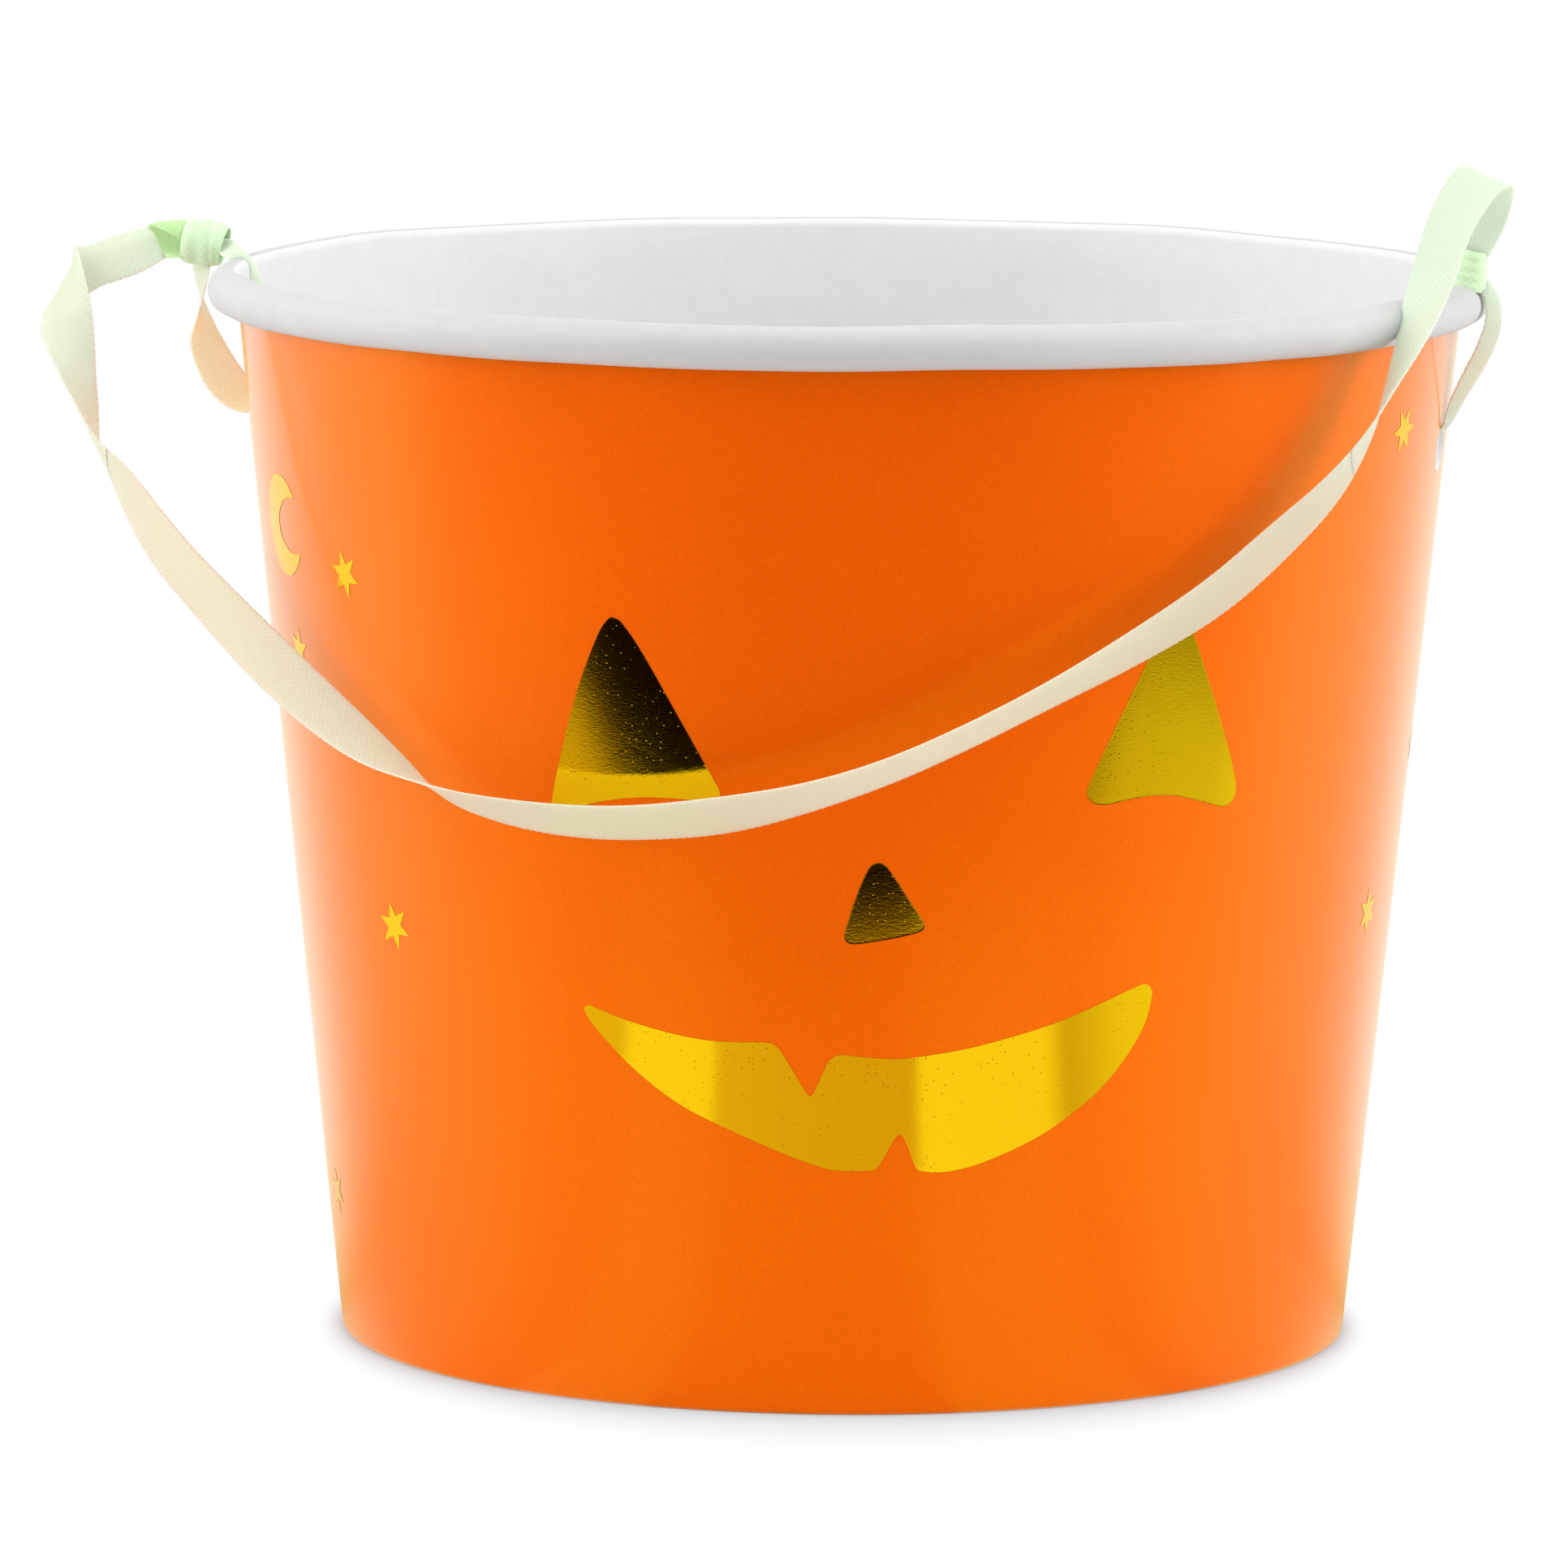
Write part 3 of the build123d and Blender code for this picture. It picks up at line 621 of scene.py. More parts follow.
# Outlines seen straight on, in millimetres: right of the face's middle, and up from the table.
LEFT_EYE = [
    (-37.3, 109.3), (-36.3, 109.5), (-35.2, 108.6), (-32.7, 104.9), (-28.0, 96.6), (-23.4, 88.4),
    (-22.4, 86.6), (-22.5, 85.5), (-23.6, 85.0), (-28.0, 85.2), (-33.0, 85.1), (-38.0, 84.2), (-41.8, 82.9),
    (-43.6, 82.6), (-44.4, 83.2), (-44.3, 84.6), (-43.6, 88.7), (-41.4, 98.7), (-38.8, 106.6),
]  # fmt: skip
RIGHT_EYE = [
    (39.6, 110.4), (40.7, 109.9), (41.8, 107.2), (44.6, 99.2), (47.2, 91.2), (48.5, 86.2), (48.6, 84.2),
    (47.9, 82.9), (46.4, 82.6), (43.2, 83.7), (39.6, 84.7), (36.0, 84.9), (32.5, 84.5), (30.2, 84.1),
    (28.3, 84.4), (27.3, 85.6), (27.8, 87.6), (31.4, 95.3), (35.2, 103.0), (38.2, 109.2),
]  # fmt: skip
NOSE = [
    (-1.2, 77.0), (-0.1, 76.6), (1.1, 75.0), (3.3, 71.6), (5.0, 69.0), (5.2, 68.0), (4.5, 67.4), (2.2, 66.8),
    (-1.0, 66.2), (-4.0, 65.8), (-5.2, 66.1), (-5.5, 67.2), (-4.8, 69.8), (-3.6, 73.4), (-2.3, 76.3),
]  # fmt: skip
UPPER_LIP_LEFT = [(-40.0, 55.3), (-39.3, 55.8), (-37.8, 55.3), (-33.5, 53.9), (-27.4, 52.5), (-22.2, 51.9),
                  (-16.2, 52.0)]  # fmt: skip
UPPER_TOOTH = [(-15.2, 51.9), (-13.9, 50.9), (-10.6, 45.5), (-9.9, 44.7), (-9.3, 45.2), (-7.5, 49.3),
               (-6.3, 50.4)]  # fmt: skip
UPPER_LIP_RIGHT = [(-5.2, 50.4), (-1.0, 50.0), (2.3, 49.9), (7.5, 50.5), (13.1, 51.5), (22.2, 53.8),
                   (29.0, 56.2), (34.6, 58.4), (36.3, 58.7), (37.2, 57.6)]  # fmt: skip
LOWER_LIP_LEFT = [(-40.0, 55.3), (-39.2, 53.8), (-37.6, 51.8), (-32.8, 47.0), (-27.7, 43.2), (-23.1, 40.8),
                  (-14.8, 37.2), (-9.5, 35.2), (-6.3, 34.4), (-2.6, 34.3)]  # fmt: skip
LOWER_TOOTH = [(-1.4, 34.4), (-0.5, 34.9), (1.7, 38.8), (2.5, 39.3), (3.2, 38.4), (4.6, 34.8), (5.6, 34.2)]
LOWER_LIP_RIGHT = [(7.0, 34.0), (9.8, 34.2), (14.0, 35.3), (20.3, 37.9), (24.7, 40.5), (29.8, 44.4),
                   (33.8, 49.1), (36.3, 53.6), (37.2, 57.6)]  # fmt: skip
# How far the foil and its proud outer edge stand off the print, the width of that edge in millimetres,
# and how many of these widths in the foil lies flat.
FOIL_LIFT = 0.04 * MM
FOIL_RIM = 0.046 * MM
FOIL_EDGE = 0.16
FOIL_FLAT = 1.25
MOUTH_COLUMNS = 420

# Small prints: azimuth in degrees, height in millimetres, turn in degrees.
STARS = [
    (-64.8, 21.3, 8), (-58.0, 99.0, -9), (-45.4, 111.6, 12), (-41.8, 63.2, 12), (75.9, 131.5, -25),
    (80.9, 63.2, 4), (96.2, 84.0, 10), (112.0, 34.5, -5), (128.0, 105.0, 14), (148.0, 60.0, -12),
    (163.0, 123.0, 3), (-166.0, 84.0, 9), (-150.0, 37.5, -8), (-134.0, 117.0, 5), (-116.0, 66.0, -3),
]  # fmt: skip
STAR_POINTS = 6
STAR_OUTER = 3.5
STAR_INNER = 1.5
MOONS = [(-59.4, 116.4, 0), (139.0, 27.0, 12), (-158.0, 132.0, -10)]
# Inner edge of the moon from its upper horn to its lower one, in millimetres from its middle.
MOON_INNER = [(5.9, 4.27), (5.2, 4.3), (3.6, 4.2), (1.4, 3.5), (-0.8, 1.9), (-1.55, 0.1), (-0.9, -1.7),
              (1.2, -3.1), (3.6, -3.7), (5.7, -3.6), (6.45, -3.44)]  # fmt: skip
# Outer edge of the moon: its middle and its two radii, and the degrees where it starts and ends.
MOON_MIDDLE = 0.2
MOON_WIDE, MOON_HIGH = 7.15, 7.1
MOON_TURN = (37, 331)


def on_face(across, height, lift):
    """Points of the wall that lie straight behind a flat drawing of the face: the azimuth is the one whose
    sine times the wall's radius is the distance across."""
    radius = wall_radius(height)
    azimuth = FACE_AZIMUTH + np.arcsin(across / radius)
    return turned(radius + lift / np.cos(LEAN), azimuth, height)


def on_side(flat, lift, place):
    """Points of the wall round a small print's place: a drawing's points are turned, then their way across is
    an arc's length and their way up is measured along the slope."""
    azimuth, height, turn = np.radians(place[0]), place[1] * MM, np.radians(place[2])
    across, up = flat[..., 0] * MM, flat[..., 1] * MM
    right = across * np.cos(turn) - up * np.sin(turn)
    rise = across * np.sin(turn) + up * np.cos(turn)
    level = height + rise * np.cos(LEAN)
    radius = wall_radius(level)
    return turned(radius + lift / np.cos(LEAN), azimuth + right / radius, level)


def foil_disc(outline):
    """Rings of a star-shaped outline: each ring is the outline drawn a share of the way to its middle. The
    outer ring stands proud, where the board swelled round the die."""
    middle = outline.mean(axis=0)
    reach = np.linalg.norm(outline - middle, axis=1)
    edges = np.array([0.0, FOIL_EDGE, FOIL_FLAT * FOIL_EDGE])[:, None] / reach
    share = np.concatenate([edges, np.linspace(0.16, 1, 8)[:, None] + 0 * reach])
    flat = outline[None] + share[..., None] * (middle - outline)[None]
    lift = np.where(np.arange(len(share))[:, None] == 0, FOIL_RIM, FOIL_LIFT) + 0 * share
    return flat, lift


def mouth_edge(lines):
    """One edge of the mouth as dense points, smooth along the lips and round the tooth."""
    return np.vstack([curve_through(line, 80) for line in lines])


def foil_print(name, grids, foil, rings=False):
    """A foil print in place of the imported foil: grids of points of one shape as one piece, each either rings
    about a middle or a strip."""
    rows, columns = grids[0].shape[:2]
    faces = grid_faces(rows, columns, close_columns=rings)
    if rings:
        faces = faces[:, ::-1]
    faces = np.vstack([faces + number * rows * columns for number in range(len(grids))])
    piece = new_piece(name, np.stack(grids), faces, [foil])
    merge(piece)
    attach(piece, "pail")
    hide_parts(name.replace("print", "foil"))


class PAIL_OT_face(bpy.types.Operator):
    """Build the pumpkin face: eyes and nose as rings, the mouth as columns between its two edges."""

    bl_idname = "pail.face"
    bl_label = "Foil Face"

    def execute(self, context):
        foil = gold_foil(context.scene.pail)
        for name, outline in (("left_eye", LEFT_EYE), ("right_eye", RIGHT_EYE), ("nose", NOSE)):
            flat, lift = foil_disc(curve_through(outline, 180, closed=True))
            points = on_face(flat[..., 0] * MM, flat[..., 1] * MM, lift)
            foil_print(f"{name}_print", [points], foil, rings=True)

        # Mouth: its columns crowd towards the corners, and each goes from the lower edge to the upper.
        upper = mouth_edge([UPPER_LIP_LEFT, UPPER_TOOTH, UPPER_LIP_RIGHT])
        lower = mouth_edge([LOWER_LIP_LEFT, LOWER_TOOTH, LOWER_LIP_RIGHT])
        left, right = upper[0, 0], upper[-1, 0]
        turn = np.linspace(0, np.pi, MOUTH_COLUMNS)
        places = 0.5 * (left + right) - 0.5 * (right - left) * np.cos(turn)
        top = np.interp(places, upper[:, 0], upper[:, 1])
        bottom = np.interp(places, lower[:, 0], lower[:, 1])
        tall = np.maximum(top - bottom, 1e-3)
        edge = np.minimum(FOIL_EDGE / tall, 0.45)
        inner = np.minimum(FOIL_FLAT * edge, 0.48)
        steps = [inner + (1 - 2 * inner) * s for s in np.linspace(0, 1, 11)]
        share = np.vstack([0 * edge, edge, *steps, 1 - edge, 1 + 0 * edge])
        rise = bottom + share * (top - bottom)
        lift = np.full(share.shape, FOIL_LIFT)
        lift[[0, -1]] = FOIL_RIM
        foil_print("mouth_print", [on_face((places + 0 * rise) * MM, rise * MM, lift)], foil)
        return {"FINISHED"}


class PAIL_OT_small_prints(bpy.types.Operator):
    """Build the small foil prints: stars as rings, moons as strips between two arcs."""

    bl_idname = "pail.small_prints"
    bl_label = "Foil Stars and Moons"

    def execute(self, context):
        foil = bpy.data.materials["hot_stamped_gold_foil"]
        corner = np.arange(2 * STAR_POINTS)
        reach = np.where(corner % 2, STAR_INNER, STAR_OUTER)
        angle = np.radians(180 / STAR_POINTS * corner + 90)
        tips = np.column_stack([reach * np.cos(angle), reach * np.sin(angle)])
        sides = zip(tips, np.roll(tips, -1, axis=0))
        outline = np.vstack([np.linspace(tip, following, 6)[:-1] for tip, following in sides])
        share = np.concatenate([[0.0, 0.12], np.linspace(0.4, 1, 3)])
        flat = outline[None] * (1 - share[:, None, None])
        lift = np.where(share == 0, FOIL_RIM, FOIL_LIFT)[:, None]
        foil_print("star_prints", [on_side(flat, lift, place) for place in STARS], foil, rings=True)

        turn = np.radians(np.linspace(*MOON_TURN, 80))
        outer = np.column_stack([MOON_MIDDLE + MOON_WIDE * np.cos(turn), MOON_HIGH * np.sin(turn)])
        inner = curve_through(MOON_INNER, 80)
        share = np.array([0, 0.07, 0.25, 0.5, 0.75, 0.93, 1])[:, None, None]
        flat = outer[None] * (1 - share) + inner[None] * share
        lift = np.array([FOIL_RIM, *[FOIL_LIFT] * 5, FOIL_RIM])[:, None]
        foil_print("moon_prints", [on_side(flat, lift, place) for place in MOONS], foil)
        return {"FINISHED"}


# ---------------------------------------------------------------- ribbon

# Routes in millimetres: point, direction towards the first edge, share of the full width.
HANDLE_ROUTE = [
    ((-100.0, -2.0, 151.5), (-0.1, 0.6, 0.8), 0.8),
    ((-102.8, -4.0, 150.3), (-0.3, 0.5, 0.8), 1.0),
    ((-105.8, -5.5, 149.2), (-0.35, 0.5, 0.8), 1.0),
    ((-108.8, -6.6, 148.2), (0.08, 0.48, 0.87), 0.94),
    ((-112.2, -8.5, 146.3), (0.43, 0.2, 0.88), 1.46),
    ((-111.6, -10.5, 145.8), (0.45, 0.19, 0.87), 1.5),
    ((-110.0, -14.5, 142.2), (0.6, 0.36, 0.72), 1.2),
    ((-108.8, -16.8, 138.7), (0.7, 0.5, 0.5), 1.02),
    ((-107.0, -19.9, 134.2), (0.53, 0.85, 0.0), 0.92),
    ((-104.8, -23.3, 129.8), (0.08, 0.99, 0.0), 1.0),
    ((-102.4, -26.5, 124.8), (-0.24, 0.95, -0.15), 1.0),
    ((-96.6, -32.5, 119.8), (-0.55, 0.75, -0.35), 1.0),
    ((-89.2, -40.5, 112.9), (-0.7, 0.5, -0.5), 1.0),
    ((-80.5, -48.5, 106.8), (-0.66, 0.35, -0.62), 1.0),
    ((-70.0, -57.5, 99.9), (-0.6, -0.2, -0.75), 1.0),
    ((-60.0, -65.0, 93.7), (-0.45, -0.6, -0.6), 1.0),
    ((-50.5, -71.5, 88.5), (-0.25, -0.9, -0.3), 1.0),
    ((-41.5, -76.5, 84.4), (0.15, -0.92, 0.3), 1.0),
    ((-31.0, -80.5, 82.7), (0.2, -0.8, 0.55), 1.0),
    ((-19.5, -84.5, 82.3), (0.15, -0.7, 0.68), 1.0),
    ((-9.5, -86.5, 82.9), (0.15, -0.66, 0.72), 1.0),
    ((1.5, -88.0, 84.5), (0.15, -0.6, 0.78), 1.0),
    ((12.5, -87.5, 87.2), (0.15, -0.72, 0.64), 1.0),
    ((23.0, -85.5, 90.8), (0.05, -0.8, 0.56), 1.0),
    ((33.5, -82.0, 95.7), (0.0, -0.83, 0.52), 1.0),
    ((43.5, -77.5, 101.0), (-0.05, -0.84, 0.5), 1.0),
    ((53.5, -71.0, 106.7), (-0.15, -0.75, 0.62), 1.0),
    ((63.0, -63.5, 112.8), (-0.28, -0.68, 0.66), 1.0),
    ((70.3, -56.0, 119.8), (-0.35, -0.77, 0.5), 1.0),
    ((76.6, -50.0, 126.2), (-0.27, -0.92, 0.28), 1.0),
    ((80.8, -45.0, 133.0), (0.0, -1.0, 0.1), 1.0),
    ((83.1, -41.5, 139.5), (0.3, -0.95, 0.0), 1.0),
    ((85.2, -37.5, 145.5), (0.62, -0.8, -0.05), 1.0),
    ((86.7, -32.0, 152.0), (0.9, -0.45, -0.1), 1.0),
    ((87.9, -24.0, 159.5), (0.83, -0.5, -0.2), 1.0),
    ((89.6, -15.0, 164.4), (0.85, -0.25, -0.4), 1.0),
    ((90.9, -6.3, 166.2), (0.82, 0.25, -0.5), 0.95),
    ((91.0, -0.4, 162.6), (0.9, 0.4, -0.1), 0.88),
    ((89.9, 1.0, 158.0), (0.95, 0.3, 0.1), 0.75),
    ((88.2, -0.2, 152.8), (1.0, 0.0, 0.1), 0.4),
]
LEFT_TIE_ROUTE = [
    ((-93.0, 0.3, 151.5), (0.1, 0.85, 0.5), 0.4),
    ((-90.2, -1.4, 151.2), (0.25, 0.8, 0.55), 0.42),
    ((-87.8, -5.0, 150.6), (0.35, 0.75, 0.55), 0.42),
    ((-85.2, -6.0, 148.0), (0.4, 0.75, 0.5), 0.5),
    ((-82.8, -2.0, 138.0), (0.1, 1.0, 0.0), 0.75),
    ((-82.0, 0.0, 128.9), (0.0, 1.0, 0.0), 0.55),
    ((-86.2, 0.0, 128.6), (0.6, 0.7, 0.3), 0.75),
    ((-90.2, 0.0, 131.4), (0.8, 0.45, 0.4), 0.85),
    ((-92.7, 0.0, 135.8), (0.8, 0.55, 0.25), 0.78),
    ((-93.9, 0.0, 139.4), (0.4, 0.8, 0.45), 0.7),
    ((-94.1, 0.0, 143.6), (-0.3, 0.8, 0.5), 0.7),
    ((-93.8, 0.0, 150.5), (-0.85, 0.5, 0.0), 0.6),
]
RIGHT_TIE_ROUTE = [
    ((87.6, 0.2, 151.3), (0.0, 1.0, 0.0), 0.45),
    ((85.2, 0.0, 150.9), (0.0, 1.0, 0.0), 0.65),
    ((83.2, 0.0, 147.0), (0.0, 1.0, 0.0), 0.8),
    ((82.4, 0.0, 140.0), (0.0, 1.0, 0.0), 0.8),
    ((82.0, 0.0, 134.0), (0.0, 1.0, 0.0), 0.7),
    ((81.9, 0.0, 129.2), (0.0, 1.0, 0.0), 0.55),
    ((84.6, 0.0, 129.2), (0.1, 1.0, 0.0), 0.45),
    ((86.0, 0.0, 133.2), (0.45, 0.85, 0.2), 0.55),
    ((88.3, 0.0, 137.4), (0.5, 0.85, 0.1), 0.65),
    ((90.4, 0.0, 141.4), (0.5, 0.85, 0.0), 0.6),
    ((91.5, 0.0, 145.4), (0.5, 0.85, -0.1), 0.5),
    ((90.8, 0.0, 149.0), (0.4, 0.9, 0.1), 0.5),
    ((89.2, 0.0, 151.2), (0.0, 1.0, 0.2), 0.45),
]
HANDLE_CUTS = (10, 29)
# Folds: place in the route, and how far along it they reach.
HANDLE_FOLDS = ((4.2, 1.6),)
TIE_FOLDS = {"left": ((9.0, 1.0),), "right": ()}
# A crease: where its ridge runs from one edge (-1) to the other (1), its depth, and how far along it fades.
HANDLE_CREASE = (0.35, -1.0 * MM, 9 * MM)
# The left knot's gathered end, as cross-sections from inside the wraps out to the handle, in millimetres.
LEFT_GATHER = [
    [(-94.6, -3.0, 151.0), (-94.6, -2.6, 153.0), (-94.6, -0.4, 154.2), (-94.6, 1.6, 152.8),
     (-94.6, 0.4, 150.4), (-94.6, -2.4, 149.8)],
    [(-96.6, -3.1, 152.3), (-96.9, -2.4, 153.8), (-96.8, -0.2, 154.5), (-96.4, 1.6, 152.9),
     (-96.2, 0.4, 150.6), (-96.2, -2.8, 149.6)],
    [(-98.9, -2.4, 153.3), (-99.3, -1.5, 154.2), (-99.2, -0.1, 154.2), (-98.6, 0.7, 152.8),
     (-98.0, -0.4, 151.0), (-97.4, -3.0, 149.5)],
    [(-101.0, -1.3, 153.9), (-101.6, -0.9, 153.9), (-101.5, -0.7, 153.4), (-100.6, -1.2, 152.3),
     (-99.6, -2.1, 150.9), (-98.6, -3.1, 149.4)],
]  # fmt: skip
# Spacing of a strip's cross-sections, how far it cups, and the length, rise and spread of its edge loops.
STRIP_STEP = 0.22 * MM
STRIP_CUP = 0.22 * MM
LOOP_LENGTH = 1.1 * MM
LOOP_RISE = 0.02 * MM
LOOP_SPREAD = 0.01
# Points of a wound line, and how much its radius grows over the turn.
WOUND_POINTS = 240
WOUND_GROWTH = 0.05


def spline_points(controls):
    """Points of the NURBS spline with these control points, evenly spaced in its parameter."""
    curve = bpy.data.curves.new("route", "CURVE")
    curve.dimensions = "3D"
    curve.resolution_u = 24
    spline = curve.splines.new("NURBS")
    spline.points.add(len(controls) - 1)
    weighted = np.column_stack([controls, np.ones(len(controls))]).astype(np.float32)
    spline.points.foreach_set("co", weighted.ravel())
    spline.order_u = 3
    spline.use_endpoint_u = True
    holder = bpy.data.objects.new("route", curve)
    bpy.context.scene.collection.objects.link(holder)
    mesh = bpy.data.meshes.new_from_object(holder)
    points = np.empty(len(mesh.vertices) * 3, np.float32)
    mesh.vertices.foreach_get("co", points)
    bpy.data.objects.remove(holder)
    bpy.data.curves.remove(curve)
    bpy.data.meshes.remove(mesh)
    return points.reshape(-1, 3).astype(float)


def ribbon_line(route, settings):
    """Centre line, direction across and half width along a route, each read from a spline of the same kind,
    with the length travelled and the place in the route."""
    centre = spline_points(np.array([row[0] for row in route]) * MM)
    return {
        "centre": centre,
        "across": spline_points(unit(np.array([row[1] for row in route], float))),
        "half": spline_points(np.array([(row[2], 0, 0) for row in route]))[:, 0] * settings.width / 2,
        "place": np.linspace(0, len(route) - 2, len(centre)),
        "travelled": path_lengths(centre),
    }


def wound_line(middle, axis, front, radii, turns, shifts, halves, cone=0.0):
    """A line for a strip wound round an axis: an ellipse turned from one angle to another, its radius growing
    a little so that it laps over itself; shifts move it along the axis and halves give its half width, both
    as values spaced evenly over the turn, and cone is how fast the strip widens along the axis."""
    axis, front = (unit(np.array(way, float)) for way in (axis, front))
    top = np.cross(front, axis)
    angle = np.radians(np.linspace(*turns, WOUND_POINTS))
    share = np.linspace(0, 1, WOUND_POINTS)
    grow = 1 + WOUND_GROWTH * share
    shift, half = (
        curve_through(np.array(values, float)[:, None], WOUND_POINTS)[:, 0] for values in (shifts, halves)
    )
    centre = (
        np.array(middle, float)
        + front * (radii[0] * grow * np.cos(angle))[:, None]
        + top * (radii[1] * grow * np.sin(angle))[:, None]
        + axis * shift[:, None]
    ) * MM
    outward = front * np.cos(angle)[:, None] + top * np.sin(angle)[:, None]
    return {
        "centre": centre,
        "across": axis + cone * outward,
        "half": half * MM,
        "place": share,
        "travelled": path_lengths(centre),
    }


def shell(sheet, normal, uv, thickness):
    """A thin closed strip: a sheet of points moved half the thickness each way along its normal, front then
    back round each cross-section, and less far at the two edges."""
    half = np.full(sheet.shape[1], thickness / 2)
    half[[0, -1]] *= 0.5
    offset = normal * half[None, :, None]
    points = np.concatenate([sheet + offset, (sheet - offset)[:, ::-1]], axis=1)
    return points, np.concatenate([uv, uv[:, ::-1]], axis=1)


def strip_mesh(points, uv):
    """Points, faces, slots and UV of a closed strip: the front and both edges in the first material, the back
    in the second, and a cap at each end."""
    rows, around = points.shape[:2]
    columns = around // 2
    faces = grid_faces(rows, around, close_columns=True)
    column = np.arange(len(faces)) % around
    slots = np.where((column >= columns) & (column < around - 1), 1, 0)
    front = np.arange(columns)
    back = around - 1 - front
    cap = np.column_stack([front[:-1], front[1:], back[1:], back[:-1]])
    faces = np.vstack([faces, cap, cap[:, ::-1] + (rows - 1) * around])
    slots = np.concatenate([slots, np.zeros(2 * len(cap), int)])
    return points.reshape(-1, 3), faces, slots, uv.reshape(-1, 2)


def joined(parts):
    """Several meshes' points, faces, slots and UV as one."""
    points, faces, slots, uv = zip(*parts)
    starts = np.cumsum([0] + [len(part) for part in points[:-1]])
    faces = [part + start for part, start in zip(faces, starts)]
    return np.vstack(points), np.vstack(faces), np.concatenate(slots), np.vstack(uv)


def ribbon_strip(line, start, end, settings, pleat=(0.0, 0.0), crease=None, folds=(), columns=13):
    """A woven strip carried along a line with its wide way across. It cups slightly as the square of the
    distance from its middle, its pleats are a cosine across it, a crease is a ridge that fades along it, and
    its two edges carry small even loops of thread. Its cross-sections are square to the line, but near a fold
    they lean along the route's own direction, more the nearer they are."""
    lengths = np.interp([start, end], line["place"], line["travelled"])
    count = max(int((lengths[1] - lengths[0]) / STRIP_STEP), 12)
    travelled = np.linspace(*lengths, count)

    def at(values):
        columns_of = values.reshape(len(values), -1).T
        return np.column_stack([np.interp(travelled, line["travelled"], column) for column in columns_of])

    centre, lean, half, place = (at(line[key]) for key in ("centre", "across", "half", "place"))
    along = unit(np.gradient(centre, axis=0))
    square = unit(lean - along * np.sum(along * lean, axis=1)[:, None])
    near = sum((np.exp(-(((place - middle) / reach) ** 2)) for middle, reach in folds), 0 * place)
    across = unit(square + near * (lean - square))
    up = unit(np.cross(along, across))

    side = np.linspace(-1, 1, columns)
    side = np.sign(side) * (1 - (1 - np.abs(side)) ** 1.4)
    wave = np.sin(2 * np.pi * travelled / LOOP_LENGTH)[:, None]
    loops = np.where(np.abs(side) > 0.99, wave, 0)
    reach = side * half * (1 + LOOP_SPREAD * loops)
    lift = STRIP_CUP * (side**2 - 0.4) * np.minimum(2 * half / settings.width, 1) + LOOP_RISE * loops
    lift = lift + pleat[0] * np.cos(np.pi * pleat[1] * side + 0.6)
    if crease:
        ridge, depth, fade = crease
        shape = np.interp(side, [-1, ridge, 1], [0, 1, 0])
        lift = lift + depth * shape * np.exp(-(((travelled - lengths[0]) / fade) ** 2))[:, None]
    sheet = centre[:, None] + across[:, None] * reach[..., None] + up[:, None] * lift[..., None]
    uv = np.stack(np.broadcast_arrays(side * half / MM, travelled[:, None] / MM), axis=-1)
    points, uv = shell(sheet, np.broadcast_to(up[:, None], sheet.shape), uv, settings.thickness)
    return strip_mesh(points, uv), centre


def folded_sheet(sections, settings):
    """A gathered stretch of ribbon: a smooth curve through each cross-section's points, and smooth curves
    through these from one cross-section to the next."""
    columns, rows = 25, 60
    rings = np.array([curve_through(section, columns).ravel() for section in sections])
    sheet = curve_through(rings, rows).reshape(rows, columns, 3) * MM
    normal = unit(np.cross(np.gradient(sheet, axis=0), np.gradient(sheet, axis=1)))
    side = np.linspace(-3.5, 3.5, columns)
    travelled = np.linspace(0, path_lengths(sheet[:, columns // 2])[-1] / MM, rows)
    uv = np.stack(np.broadcast_arrays(side, travelled[:, None]), axis=-1)
    points, uv = shell(sheet, normal, uv, settings.thickness)
    return strip_mesh(points, uv)


def ribbon_object(name, mesh, materials):
    """A piece of ribbon as an object with its two faces' materials."""
    points, faces, slots, uv = mesh
    piece = new_piece(name, points, faces, materials, slots, uv, sharp=70.0)
    merge(piece, closed=True)
    return piece


